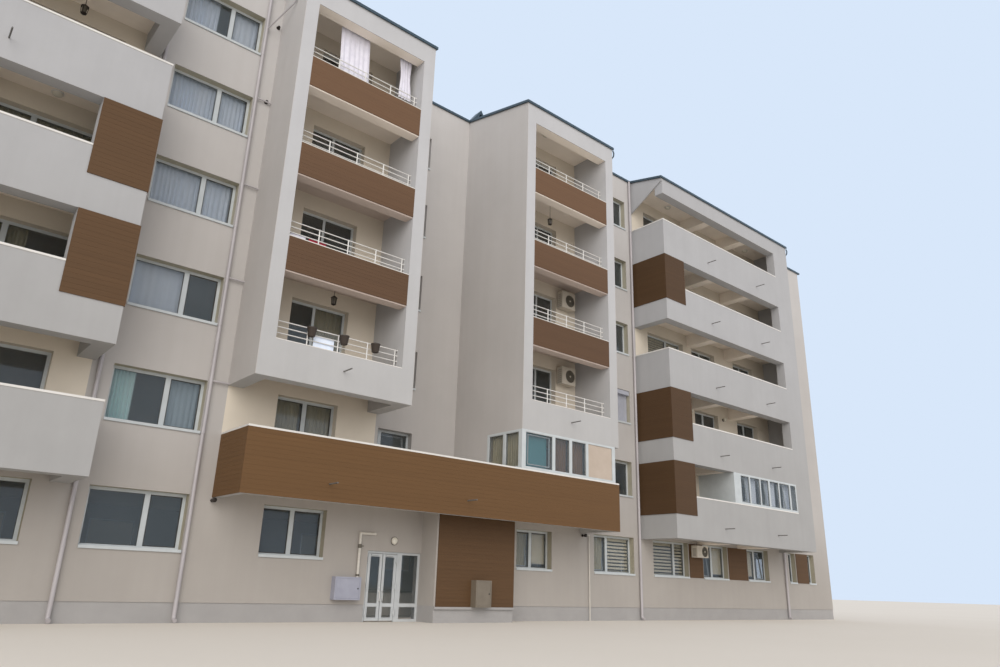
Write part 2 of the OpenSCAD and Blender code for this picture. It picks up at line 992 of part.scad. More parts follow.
module left_leaf_glass() {
    color("#5f6d70")
        placed()
            leaf_panes(leaf_a_x0);
}

module right_leaf_glass() {
    color("#5f6d70")
        placed()
            leaf_panes(leaf_b_x0);
}

module sidelight_glass() {
    color("#5f6d70")
        placed()
            door_panes(post_x0 + post_w, door_x1 - door_frame_w, door_frame_w, door_h - door_frame_w);
}

// Rainwater pipes on the main front wall, each held by a clamp on every storey
pipe_r = 50;
pipe_gap = 30;
pipe_y = -pipe_r - pipe_gap;
pipe_foot = 100;
drained_pipe = -7510;
pipe_x = [-21130, -10220, drained_pipe, 10180, 21130];
drain_drop = 700;
clamp_h = 40;
branch_r = 25;
branch_x = -loggia_out - 2 * branch_r;
branch_bend = [-1000, level(top) - 420];
branch_foot = level(top) - 1150;
branch_end = -1560;
bar_fn = 12;

// A round bar from one point to another
module bar(a, b, r, sides) {
    d = b - a;
    translate(a)
        rotate([0, acos(d[2] / norm(d)), atan2(d[1], d[0])])
            cylinder(r = r, h = norm(d), $fn = sides);
}

module downpipe(x) {
    translate([x, pipe_y, pipe_foot])
        cylinder(r = pipe_r, h = roof_under(-roof_over) - pipe_foot, $fn = round_fn);
    for (n = [0 : top - 1])
        box([x - pipe_r / 2, pipe_y, level(n) + sill_h],
            [x + pipe_r / 2, 0, level(n) + sill_h + clamp_h]);
}

// Stubs from the left loggia box into a pipe, and the bent branch up to its eave
module loggia_drains(x) {
    for (n = [2 : top - 1])
        bar([x, pipe_y, level(n) - drain_drop], [-loggia_out, pipe_y, level(n) - drain_drop],
            branch_r, bar_fn);
    bar([x, pipe_y, branch_foot], [branch_x, branch_bend[0], branch_bend[1]], branch_r, bar_fn);
    bar([branch_x, branch_bend[0], branch_bend[1]],
        [branch_x, branch_end, roof_under(branch_end) - branch_r], branch_r, bar_fn);
}

module downpipes() {
    color("#d8d8d6")
        placed()
            for (x = pipe_x)
                union() {
                    downpipe(x);
                    if (x == drained_pipe)
                        loggia_drains(x);
                }
}

// Small pipes through the parapets that drain the balconies
spout_r = 20;
spout_drop = 170;
canopy_spout_drop = 275;
spout_x = [13600, 17700];
left_spout_x = [13800, 17700];
loggia_spout_x = 4520;
canopy_spout_x = [-4610, 40];
module spout(x, z) {
    bar([x, -project_y, z], [x, -project_y - spout_out, z], spout_r, bar_fn);
}

module rain_spouts() {
    color("#8d8d8b")
        placed() {
            for (side = [-1, 1])
                on_side(side) {
                    for (n = [1 : top - 1])
                        for (x = side < 0 ? left_spout_x : spout_x)
                            spout(x, level(n) - spout_drop);
                    spout(loggia_spout_x, level(2) - spout_drop);
                }
            for (x = canopy_spout_x)
                spout(x, level(1) - canopy_spout_drop);
        }
}

// Meter cabinets on the wall, each as [low x, high x, low z, high z, face it stands on, depth]
cabinets = [[-3300, -2470, 590, 1210, 0, 220], [1080, 1700, sign_base, 1240, sign_y, 250]];

// Gas pipes on the ground floor, each rising to where it goes into the wall or feeds a lamp
gas_y = -60;
// Each as [x of the rise, x where it enters the wall, low z, high z, radius]
gas_runs = [[-2520, -2010, cabinets[0][3], 2440, 38], [7250, 6920, 0, 3000, 20]];
module gas_pipes() {
    color("#bdbcb8")
        placed()
            for (g = gas_runs) {
                r = g[4];
                turn = g[1] > g[0] ? -r : r;
                union() {
                    bar([g[0], gas_y, g[2]], [g[0], gas_y, g[3]], r, bar_fn);
                    bar([g[0] + turn, gas_y, g[3]], [g[1], gas_y, g[3]], r, bar_fn);
                    bar([g[1] + turn, gas_y - r, g[3]], [g[1] + turn, 0, g[3]], r, bar_fn);
                }
            }
}

// Their faces are stepped back inside a rim
cabinet_rim = 40;
cabinet_step = 8;
module meter_cabinets() {
    color("#9b9ba3")
        placed()
            for (c = cabinets) {
                face = c[4] - c[5];
                difference() {
                    box([c[0], face, c[2]], [c[1], c[4], c[3]]);
                    box([c[0] + cabinet_rim, face - 1, c[2] + cabinet_rim],
                        [c[1] - cabinet_rim, face + cabinet_step, c[3] - cabinet_rim]);
                }
            }
}

// Outdoor cooling units on wall brackets, each as [low x, high x, low z]
coolers = [[5520, 6240, level(2) + 1745], [5520, 6240, level(3) + 1875], [13600, 14400, level(0) + 1725]];
cooler_h = 680;
low_cooler_h = 480;
cooler_d = 290;
cooler_gap = 60;
fan_r = 250;
fan_rim = 30;
fan_depth = 30;
bracket_w = 40;
bracket_in = 80;
bracket_z = 20;
module air_conditioners() {
    color("#dddcd6")
        placed()
            for (c = coolers) {
                h = c[2] < level(1) ? low_cooler_h : cooler_h;
                r = min(fan_r, h / 2 - fan_rim);
                face = -cooler_gap - cooler_d;
                union() {
                    difference() {
                        box([c[0], face, c[2]], [c[1], -cooler_gap, c[2] + h]);
                        translate([c[1] - r - fan_rim, face - 1, c[2] + h / 2])
                            rotate([-90, 0, 0])
                                cylinder(r = r, h = fan_depth + 1, $fn = round_fn);
                    }
                    for (x = [c[0] + bracket_in, c[1] - bracket_in - bracket_w])
                        box([x, -cooler_gap - 1, c[2] + bracket_z],
                            [x + bracket_w, wall_face(c), c[2] + h - bracket_z]);
                }
            }
}

// Depth of the face that a cooling unit hangs on
function wall_face(c) = c[2] < level(1) ? -panel_proud : 0;

// Round lamp over the entrance: a base plate under a domed cover, as [radius, distance from the wall]
lamp_place = [-1320, 0, 2290];
lamp_outline = [[0, 0], [110, 0], [110, 30], [100, 34], [94, 60], [70, 84], [36, 96], [0, 100]];
module entrance_lamp() {
    color("#f2f1ea")
        placed()
            translate(lamp_place)
                rotate([90, 0, 0])
                    rotate_extrude($fn = round_fn)
                        polygon(lamp_outline);
}

// Small gabled vent hood that stands on the roof behind the stair front, open to the front and rear
hood_x = 2790;
hood_half = 560;
hood_h = 820;
hood_t = 90;
hood_y = [recess_y, recess_y + 450];
module roof_vent() {
    z0 = roof_top(hood_y[0]);
    inner_h = hood_h - 2 * hood_t;
    inner = hood_half * inner_h / hood_h;
    color("#6d757c")
        placed()
            difference() {
                translate([hood_x, hood_y[1], z0])
                    rotate([90, 0, 0])
                        linear_extrude(height = hood_y[1] - hood_y[0])
                            difference() {
                                polygon([[-hood_half, 0], [hood_half, 0], [0, hood_h]]);
                                polygon([[-inner, -1], [inner, -1], [0, inner_h]]);
                            }
                along_x(hood_x - hood_half - 1, hood_x + hood_half + 1,
                    [[hood_y[0] - 1, 0], [hood_y[1] + 1, 0], [hood_y[1] + 1, roof_top(hood_y[1] + 1)],
                        [hood_y[0] - 1, roof_top(hood_y[0] - 1)]]);
            }
}

ground_floor();
hall_floor();
upper_floors();
roof_front();
roof_rear();
front_wall_left();
front_wall_right();
stair_wall();
stair_side_walls();
entrance_lintel();
entrance_wall();
rear_wall();
left_end_wall();
right_end_wall();
front_window_frames();
front_window_glass();
rear_window_frames();
rear_window_glass();
end_window_frames();
end_window_glass();
wall_panels();
left_balcony_floors();
left_balcony_parapets();
left_balcony_column();
left_corner_panels();
right_balcony_floors();
right_balcony_parapets();
right_balcony_column();
right_corner_panels();
corner_walls();
left_loggia_frame();
left_loggia_floors();
left_loggia_cladding();
left_loggia_railings();
right_loggia_frame();
right_loggia_floors();
right_loggia_cladding();
right_loggia_railings();
canopy_floor();
canopy_parapet();
canopy_cladding();
canopy_coping();
sign_walls();
sign_panel();
winter_garden_frame();
winter_garden_glass();
entrance_frame();
entrance_leaf_left();
entrance_leaf_right();
left_leaf_glass();
right_leaf_glass();
sidelight_glass();
downpipes();
rain_spouts();
gas_pipes();
meter_cabinets();
air_conditioners();
entrance_lamp();
roof_vent();
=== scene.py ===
"""Finishes a packed half-size apartment block: render, boards, windows, curtains, roof seams and fittings."""

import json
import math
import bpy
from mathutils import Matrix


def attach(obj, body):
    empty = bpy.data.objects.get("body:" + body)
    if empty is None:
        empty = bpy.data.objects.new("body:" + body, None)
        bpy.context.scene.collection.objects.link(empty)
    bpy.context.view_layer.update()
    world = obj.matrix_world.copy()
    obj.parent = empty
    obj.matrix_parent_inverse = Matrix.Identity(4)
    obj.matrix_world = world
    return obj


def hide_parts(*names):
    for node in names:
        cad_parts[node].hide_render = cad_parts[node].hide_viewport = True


bl_info = {
    "name": "Apartment Block Finish",
    "version": (1, 0, 0),
    "blender": (4, 5, 0),
    "location": "3D View > Sidebar > Block",
    "description": "Adds the boards, sashes, curtains, seams and fittings of a packed apartment block",
    "category": "Object",
}

import bpy
from mathutils import Matrix, Vector

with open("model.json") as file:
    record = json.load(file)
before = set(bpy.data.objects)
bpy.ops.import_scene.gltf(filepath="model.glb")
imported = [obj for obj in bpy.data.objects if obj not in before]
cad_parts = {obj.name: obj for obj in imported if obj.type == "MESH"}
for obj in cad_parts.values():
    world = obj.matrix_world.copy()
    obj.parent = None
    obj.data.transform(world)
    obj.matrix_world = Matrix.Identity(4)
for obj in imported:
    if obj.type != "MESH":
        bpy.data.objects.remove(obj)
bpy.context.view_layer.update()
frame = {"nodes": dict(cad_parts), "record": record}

# Places below are the real building's, in metres, with y = 0 on the main front wall's face.
# The model is half of that, and its origin lies under the middle of its box.
RATIO = 2.0
MID_Y = 4.905
TOP, STOREY = 6, 3.0
STRIP, STRIP_MULLION = (7.565, 9.9), 8.5
STACK_IN, STACK_OUT, STACK_OPEN = 10.335, 21.01, 19.68
CORNER_END = STACK_IN + 1.35
RECESS, RECESS_Y = 2.2, 1.9
LOGGIA_OUT, LOGGIA_SIDE = 7.02, 0.43
LOGGIA_OPEN = (RECESS + LOGGIA_SIDE, LOGGIA_OUT - LOGGIA_SIDE)
UPSTAND, RAIL_Y = 0.335, -1.46
FRONT_Y = -1.8
BOARDED_Y = FRONT_Y + 0.03
HALF_LENGTH, DEPTH = 25.6, 12.0
EAVE = 0.04
SILL, HEAD = 0.9, 2.3
REVEAL, FRAME_W, MULLION_W = 0.23, 0.065, 0.11
BAND_LOW, BAND_HIGH = -0.725, 0.975
GARDEN_Z, GARDEN_HEM = (4.82, 5.98), 4.84
END_Y, END_W = (3.6, 8.4), 1.2
REAR_BAYS, REAR_W = 12, 1.6
REAR_X = [(i - (REAR_BAYS - 1) / 2) * 2 * HALF_LENGTH / REAR_BAYS for i in range(REAR_BAYS)]
DOWNPIPES = (-21.13, -10.22, -7.51, 10.18, 21.13)
# The storeys with brown boards at a stack's inner corner, on either side of the middle
CORNERS = {-1: (2, 3), 1: (1, 2, 4)}
WORDS = {-1: "left", 1: "right"}
# Turns that lay along another axis what stands along Z
QUARTER = math.radians(90)
TURNS = {"Z": (0, 0, 0), "X": (0, QUARTER, 0), "-X": (0, -QUARTER, 0), "-Y": (QUARTER, 0, 0)}


def level(n):
    """Height of a storey's floor above the pavement."""
    return 0.775 + STOREY * n


def ceiling(n):
    """Underside of the balcony floor over a storey."""
    return level(n + 1) - 0.18


def at(x, y, z):
    """A real place in the model's frame."""
    return Vector((x / RATIO, (y - MID_Y) / RATIO, z / RATIO))


def linear(hex_code):
    """An sRGB hex colour as linear RGBA."""
    parts = [int(hex_code[i:i + 2], 16) / 255 for i in (1, 3, 5)]
    return tuple(c / 12.92 if c <= 0.04045 else ((c + 0.055) / 1.055) ** 2.4 for c in parts) + (1.0,)


def span(side, a, b):
    """Two distances from the middle as low and high x on one side."""
    return tuple(sorted((side * a, side * b)))


def sizes():
    """The chosen sizes of the finish."""
    return bpy.context.scene.block_sizes


def select(*pieces):
    """Selects the pieces and nothing else, the first of them active."""
    bpy.ops.object.select_all(action="DESELECT")
    for piece in pieces:
        piece.select_set(True)
    bpy.context.view_layer.objects.active = pieces[0]


def join(pieces):
    """The pieces as one mesh."""
    select(*pieces)
    if len(pieces) > 1:
        bpy.ops.object.join()
    return pieces[0]


def settle():
    """The active object, with its place put into its mesh."""
    bpy.ops.object.transform_apply(location=True, rotation=True, scale=True)
    return bpy.context.object


def modify(piece, kind, **settings):
    """Adds a modifier and applies it."""
    select(piece)
    bpy.ops.object.modifier_add(type=kind)
    modifier = piece.modifiers[-1]
    for name, value in settings.items():
        setattr(modifier, name, value)
    bpy.ops.object.modifier_apply(modifier=modifier.name)
    return piece


def eased(piece, bevel, **limits):
    """The piece, its edges eased by a real width if there is one."""
    if not bevel:
        return piece
    return modify(piece, "BEVEL", width=bevel / RATIO, segments=1, limit_method="ANGLE", **limits)


def arrayed(piece, count, pitch):
    """The piece in a row of its kind, one above the other."""
    return modify(piece, "ARRAY", count=count, use_relative_offset=False, use_constant_offset=True,
                  constant_offset_displace=(0, 0, pitch / RATIO))


def smooth(piece, angle=40):
    """Smooth shading up to an angle."""
    select(piece)
    bpy.ops.object.shade_smooth_by_angle(angle=math.radians(angle))
    return piece


def block(low, high, bevel=0.0):
    """A box between two real corners."""
    a, b = at(*low), at(*high)
    bpy.ops.mesh.primitive_cube_add(size=1, location=(a + b) / 2, scale=b - a)
    return eased(settle(), bevel)


def leaning(a, b, width, height, bevel):
    """A bar between two real points of one x, with its width along X and its height square to it."""
    a, b = at(*a), at(*b)
    bpy.ops.mesh.primitive_cube_add(size=1, location=(a + b) / 2,
                                    rotation=(math.atan2(b.z - a.z, b.y - a.y), 0, 0),
                                    scale=(width / RATIO, (b - a).length, height / RATIO))
    return eased(settle(), bevel)


def rod(a, b, radius, sides=12, bevel=0.0):
    """A round bar between two real points."""
    a, b = at(*a), at(*b)
    bpy.ops.mesh.primitive_cylinder_add(vertices=sides, radius=radius / RATIO, depth=(b - a).length,
                                        location=(a + b) / 2,
                                        rotation=(b - a).to_track_quat("Z", "Y").to_euler())
    return smooth(eased(settle(), bevel, angle_limit=1.2))


def tube(points, radius, sides=8):
    """A bent pipe through real points, with ball joints at its bends."""
    parts = [rod(a, b, radius, sides) for a, b in zip(points, points[1:])]
    for place in points[1:-1]:
        bpy.ops.mesh.primitive_uv_sphere_add(segments=sides, ring_count=6, radius=radius * 1.02 / RATIO,
                                             location=at(*place))
        parts.append(smooth(settle()))
    return join(parts)


def hoop(place, radius, thick, axis="-Y", around=24):
    """A ring of round wire about an axis through a real place."""
    bpy.ops.mesh.primitive_torus_add(major_segments=around, minor_segments=6, major_radius=radius / RATIO,
                                     minor_radius=thick / RATIO, location=at(*place), rotation=TURNS[axis])
    return smooth(settle())


def turned(place, outline, sides=20, axis="Z"):
    """A turned solid along an axis from a real place, from (radius, height) points, both ends closed."""
    bpy.ops.mesh.primitive_circle_add(vertices=sides, radius=outline[0][0] / RATIO, fill_type="NGON",
                                      location=(0, 0, outline[0][1] / RATIO))
    piece = settle()
    bpy.ops.object.mode_set(mode="EDIT")
    bpy.ops.mesh.select_all(action="SELECT")
    for (r0, z0), (r1, z1) in zip(outline, outline[1:]):
        bpy.ops.mesh.extrude_region_move(TRANSFORM_OT_translate={"value": (0, 0, (z1 - z0) / RATIO)})
        bpy.ops.transform.resize(value=(r1 / r0, r1 / r0, 1), center_override=(0, 0, z1 / RATIO))
    close_mesh()
    piece.rotation_euler = TURNS[axis]
    piece.location = at(*place)
    return smooth(settle())


def close_mesh():
    """Turns all faces of the mesh being edited outwards and leaves edit mode."""
    bpy.ops.mesh.select_all(action="SELECT")
    bpy.ops.mesh.normals_make_consistent(inside=False)
    bpy.ops.object.mode_set(mode="OBJECT")


def ring(low, high, width, bevel=0.002):
    """An upright rectangular ring that faces -Y, between two real corners."""
    a, b = at(*low), at(*high)
    bpy.ops.mesh.primitive_plane_add(size=1, location=((a.x + b.x) / 2, a.y, (a.z + b.z) / 2),
                                     rotation=(QUARTER, 0, 0))
    bpy.context.object.scale = (b.x - a.x, b.z - a.z, 1)
    piece = settle()
    bpy.ops.object.mode_set(mode="EDIT")
    bpy.ops.mesh.select_all(action="SELECT")
    bpy.ops.mesh.inset(thickness=width / RATIO, depth=0)
    bpy.ops.mesh.delete(type="FACE")
    bpy.ops.mesh.select_all(action="SELECT")
    bpy.ops.mesh.extrude_region_move(TRANSFORM_OT_translate={"value": (0, b.y - a.y, 0)})
    close_mesh()
    return eased(piece, bevel)


def twin(piece, matrix):
    """A copy with its own mesh, moved by a matrix of the model's frame."""
    other = piece.copy()
    other.data = piece.data.copy()
    other.data.transform(matrix)
    if matrix.determinant() < 0:
        other.data.flip_normals()
    bpy.context.collection.objects.link(other)
    return other


def repeat(piece, offsets):
    """The piece and its copies at real offsets, the piece itself being at the first of them."""
    first = Vector(offsets[0])
    return [piece] + [twin(piece, Matrix.Translation((Vector(o) - first) / RATIO)) for o in offsets[1:]]


def along(piece, places):
    """The piece and its copies at several x, the piece itself being at the first of them."""
    return repeat(piece, [(x, 0, 0) for x in places])


def upwards(piece, floors):
    """The piece and its copies on several storeys, the piece itself being on the first of them."""
    return repeat(piece, [(0, 0, STOREY * n) for n in floors])


def both_sides(pieces):
    """The pieces and their mirror images on the other half of the building."""
    return pieces + [twin(p, MIRROR) for p in pieces]


def tilt(piece, place, degrees):
    """Turns a piece about the line along X through a real place."""
    move = Matrix.Translation(at(*place))
    piece.data.transform(move @ Matrix.Rotation(math.radians(degrees), 4, "X") @ move.inverted())
    return piece


def onto(place, turn):
    """Matrix that carries what stands on the front wall at x = 0 to a wall through a real place."""
    return (Matrix.Translation(at(*place)) @ Matrix.Rotation(math.radians(turn), 4, "Z")
            @ Matrix.Translation(-at(0, 0, 0)))


MIRROR = Matrix.Scale(-1, 4, (1, 0, 0))
REAR = onto((0, DEPTH, 0), 180)
ENDS = onto((HALF_LENGTH, 0, 0), 90), onto((-HALF_LENGTH, 0, 0), -90) @ MIRROR
GARDEN_SIDE = onto((RECESS, 0, 0), -90)


def finish(name, pieces, kind, body="building", stands_for=()):
    """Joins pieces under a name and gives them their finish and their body."""
    piece = join(pieces)
    piece.name = piece.data.name = name
    piece.data.materials.clear()
    piece.data.materials.append(coat(kind))
    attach(piece, body)
    if stands_for:
        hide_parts(*stands_for)
    return piece


def add(tree, kind, inputs=None, **settings):
    """Adds a node with its settings, and its inputs as values or as sockets to link from."""
    made = tree.nodes.new(kind)
    for name, value in settings.items():
        setattr(made, name, value)
    for name, value in (inputs or {}).items():
        if isinstance(value, bpy.types.NodeSocket):
            tree.links.new(value, made.inputs[name])
        else:
            made.inputs[name].default_value = value
    return made


def coat(kind):
    """The material of a finish, made at its first use and painted over real coordinates in metres."""
    name, values, painter, *rest = FINISHES[kind]
    material = bpy.data.materials.get(name)
    if material:
        return material
    material = bpy.data.materials.new(name)
    material.use_nodes = True
    tree = material.node_tree
    shader = tree.nodes["Principled BSDF"]
    for key, value in values.items():
        shader.inputs[key].default_value = value
    place = add(tree, "ShaderNodeTexCoord").outputs["Object"]
    real = add(tree, "ShaderNodeVectorMath", {0: place, 1: (RATIO,) * 3}, operation="MULTIPLY").outputs[0]
    colour, relief = painter(tree, real, *rest)
    tree.links.new(colour, shader.inputs["Base Color"])
    if relief:
        tree.links.new(bumps(tree, real, *relief), shader.inputs["Normal"])
    return material


def paint(name, share=1.0, tint=(1.0, 1.0, 1.0)):
    """A chosen colour, made lighter or darker by a share and tinted."""
    colour = getattr(bpy.context.scene.block_colours, name)
    return tuple(min(1.0, c * share * t) for c, t in zip(colour, tint)) + (1.0,)


def mottled(tree, real, colours, scale, detail=5.0, stretch=(1.0, 1.0, 1.0)):
    """A drift, over noise of a scale per metre, between two colours given as hex codes or what paint takes."""
    spread = add(tree, "ShaderNodeVectorMath", {0: real, 1: stretch}, operation="MULTIPLY")
    noise = add(tree, "ShaderNodeTexNoise",
                {"Vector": spread.outputs[0], "Scale": scale, "Detail": detail, "Roughness": 0.6})
    ramp = add(tree, "ShaderNodeMapRange", {"Value": noise.outputs["Fac"], "From Min": 0.3, "From Max": 0.7})
    first, second = (linear(c) if isinstance(c, str) else paint(*c) for c in colours)
    return add(tree, "ShaderNodeMix", {0: ramp.outputs[0], 6: first, 7: second}, data_type="RGBA").outputs[2]


def bumps(tree, real, scale, height_mm, detail=3.0, stretch=(1.0, 1.0, 1.0)):
    """Fine relief of a real height over noise."""
    spread = add(tree, "ShaderNodeVectorMath", {0: real, 1: stretch}, operation="MULTIPLY")
    noise = add(tree, "ShaderNodeTexNoise", {"Vector": spread.outputs[0], "Scale": scale, "Detail": detail})
    return add(tree, "ShaderNodeBump", {"Height": noise.outputs["Fac"], "Strength": 1.0,
                                        "Distance": height_mm / 1000 / RATIO}).outputs[0]


def patch(tree, real, colour, other, *bounds):
    """A colour, and another inside real bounds (axis, low, high), with x taken from the middle."""
    split = add(tree, "ShaderNodeSeparateXYZ", {0: real})
    inside = None
    for axis, low, high in bounds:
        value = split.outputs[axis]
        if axis == "X":
            value = add(tree, "ShaderNodeMath", {0: value}, operation="ABSOLUTE").outputs[0]
        step = add(tree, "ShaderNodeMath", {0: value, 1: (low + high) / 2, 2: (high - low) / 2},
                   operation="COMPARE").outputs[0]
        if inside:
            step = add(tree, "ShaderNodeMath", {0: inside, 1: step}, operation="MULTIPLY").outputs[0]
        inside = step
    return add(tree, "ShaderNodeMix", {0: inside, 6: colour, 7: other}, data_type="RGBA").outputs[2]


def by_height(tree, real, colour, low, high, shade):
    """A colour shaded below a height and left as it is above another, with a soft change between."""
    split = add(tree, "ShaderNodeSeparateXYZ", {0: real})
    near = add(tree, "ShaderNodeMapRange", {"Value": split.outputs["Z"], "From Min": low, "From Max": high,
                                            "To Min": 1.0, "To Max": 0.0}, interpolation_type="SMOOTHSTEP")
    return add(tree, "ShaderNodeMix", {0: near.outputs[0], 6: colour, 7: shade + (1.0,)}, data_type="RGBA",
               blend_type="MULTIPLY").outputs[2]


def rained(tree, real, colours, scale, grey, stretch):
    """A drifting colour with faint upright streaks of rain."""
    drift = mottled(tree, real, colours, scale)
    streak = mottled(tree, real, (grey, "#FFFFFF"), 1.0, 4.0, stretch)
    return add(tree, "ShaderNodeMix", {0: 0.15, 6: drift, 7: streak}, data_type="RGBA",
               blend_type="MULTIPLY").outputs[2]


def wall_paint_and_height_light(tree, real):
    """The outer walls' paint with its faint rain streaks, and painted light by height: darker below 9 m, a little
    lighter towards the eaves.
    """
    colour = rained(tree, real, (("wall", 1.05), ("wall", 1.13)), 0.5, "#E9E5E0", (3.5, 3.5, 0.12))
    return by_height(tree, real, colour, 9.0, 18.0, (0.9, 0.885, 0.865))


# Relief of the render: its grit of 1.5 mm is drawn at 5 mm, as coarse as it must be to show.
GRIT = (200.0, 1.2)


def wall_render(tree, real):
    """Trowelled mineral render with 1.5 mm grit: matt and chalky, faint rain streaks, painted shade in the window
    reveals, painted warm bounce light inside balconies.
    """
    # Painted shade: the window reveals, 15 to 340 mm behind the wall's face, take a darker warm beige than the
    # wall.
    reveal = mottled(tree, real, ("#AAA593", "#B4AF9E"), 1.5)
    colour = patch(tree, real, wall_paint_and_height_light(tree, real), reveal, ("X", 2.5, 25.0),
                   ("Y", -MID_Y + 0.015, -MID_Y + 0.34))
    # The walls are drawn darker towards the ground, below 5.5 m and most below 1.5 m.
    colour = by_height(tree, real, colour, 1.5, 5.5, (0.84, 0.82, 0.79))
    # Painted warm bounce light: inside the balconies, loggias and stacks the walls take a lighter, warmer paint.
    warm = mottled(tree, real, (("inner_wall", 0.96), ("inner_wall", 1.04)), 0.8)
    for x0, x1, z0, z1 in ((2.3, 7.0, 4.0, 6.55), (2.6, 6.62, 6.6, 19.0), (10.4, 20.85, 3.6, 19.0)):
        colour = patch(tree, real, colour, warm, ("X", x0, x1), ("Z", z0, z1),
                       ("Y", -MID_Y - 0.03, -MID_Y + 0.36))
    foot = mottled(tree, real, (("wall", 0.7), ("wall", 0.78)), 1.4)
    return patch(tree, real, colour, foot, ("Z", -1.0, 0.47)), GRIT


def balcony_render(tree, real, share):
    """The same render on the parapets and boxes, cooler and cleaner, washed a little grey where rain runs off, with
    painted warm bounce light on the loggia boxes' linings.
    """
    pair = (("parapet", 0.96 * share), ("parapet", 1.04 * share))
    colour = rained(tree, real, pair, 0.6, "#E6E4E2", (4.0, 4.0, 0.15))
    # Painted warm bounce light: the loggia boxes' linings take the light, warm paint of the ceilings under the
    # balcony floors.
    lining = mottled(tree, real, (("soffit", 0.97), ("soffit", 1.03)), 0.8)
    # The linings are drawn darker on the lower storeys.
    lining = by_height(tree, real, lining, 12.0, 16.0, (0.64, 0.59, 0.59))
    colour = patch(tree, real, by_height(tree, real, colour, 4.0, 14.0, (0.88, 0.87, 0.84)), lining,
                   ("X", 2.64, 6.58), ("Y", -MID_Y - 1.78, -MID_Y + 0.1), ("Z", 6.5, 19.0))
    # The boxes' flanks carry the walls' paint.
    flank = wall_paint_and_height_light(tree, real)
    for x in (RECESS, LOGGIA_OUT):
        colour = patch(tree, real, colour, flank, ("X", x - 0.01, x + 0.01))
    return colour, GRIT


def boards(tree, real, share, tint=(1.0, 1.0, 1.0), low_share=1.0):
    """Brown high-pressure laminate with a printed wood figure: satin, each board of a slightly other tone."""
    pair = (("boards", 0.93 * share, tint), ("boards", 1.06 * share, tint))
    grain = mottled(tree, real, pair, 1.0, 6.0, (0.6, 0.6, 45.0))
    # Boards are drawn darker on the lower storeys where low_share is given.
    grain = by_height(tree, real, grain, 9.0, 17.0, (low_share, low_share, low_share))
    height = add(tree, "ShaderNodeSeparateXYZ", {0: real}).outputs["Z"]
    row = add(tree, "ShaderNodeMath", {0: height, 1: sizes().board_pitch}, operation="DIVIDE")
    whole = add(tree, "ShaderNodeMath", {0: row.outputs[0]}, operation="FLOOR")
    tone = add(tree, "ShaderNodeTexWhiteNoise", {"W": whole.outputs[0]}, noise_dimensions="1D")
    shade = add(tree, "ShaderNodeMapRange", {"Value": tone.outputs["Value"], "To Min": 0.97, "To Max": 1.03})
    toned = add(tree, "ShaderNodeVectorMath", {0: grain, "Scale": shade.outputs[0]}, operation="SCALE")
    return toned.outputs[0], (1.0, 0.1, 4.0, (2.0, 2.0, 300.0))


def cabinet_enamel(tree, real):
    """Powder-coated cabinet steel: satin, slightly uneven, one cabinet violet-grey and one darker brown-grey, its
    own brown with painted shade.
    """
    pale = mottled(tree, real, ("#9698A6", "#A2A4B2"), 2.5)
    # Painted shade: the cabinet by the sign wall is drawn darker, in its brown-grey.
    brown = mottled(tree, real, ("#6F6659", "#7A7164"), 2.5)
    return patch(tree, real, pale, brown, ("X", 0.9, 1.9)), (400.0, 0.15)


def plain(tree, real, colours, drift, relief, height_mm, stretch=1.0):
    """A drifting colour and a fine relief, each over noise of its own scale, both stretched along Z."""
    spread = (1.0, 1.0, stretch)
    return mottled(tree, real, colours, drift, 5.0, spread), height_mm and (relief, height_mm, 3.0, spread)


LAMINATE = {"Roughness": 0.6, "IOR": 1.48, "Specular IOR Level": 0.25}
CLOTH = {"Roughness": 0.9, "IOR": 1.45, "Sheen Weight": 0.2}
VOILE = {"Roughness": 0.85, "IOR": 1.45, "Sheen Weight": 0.3}
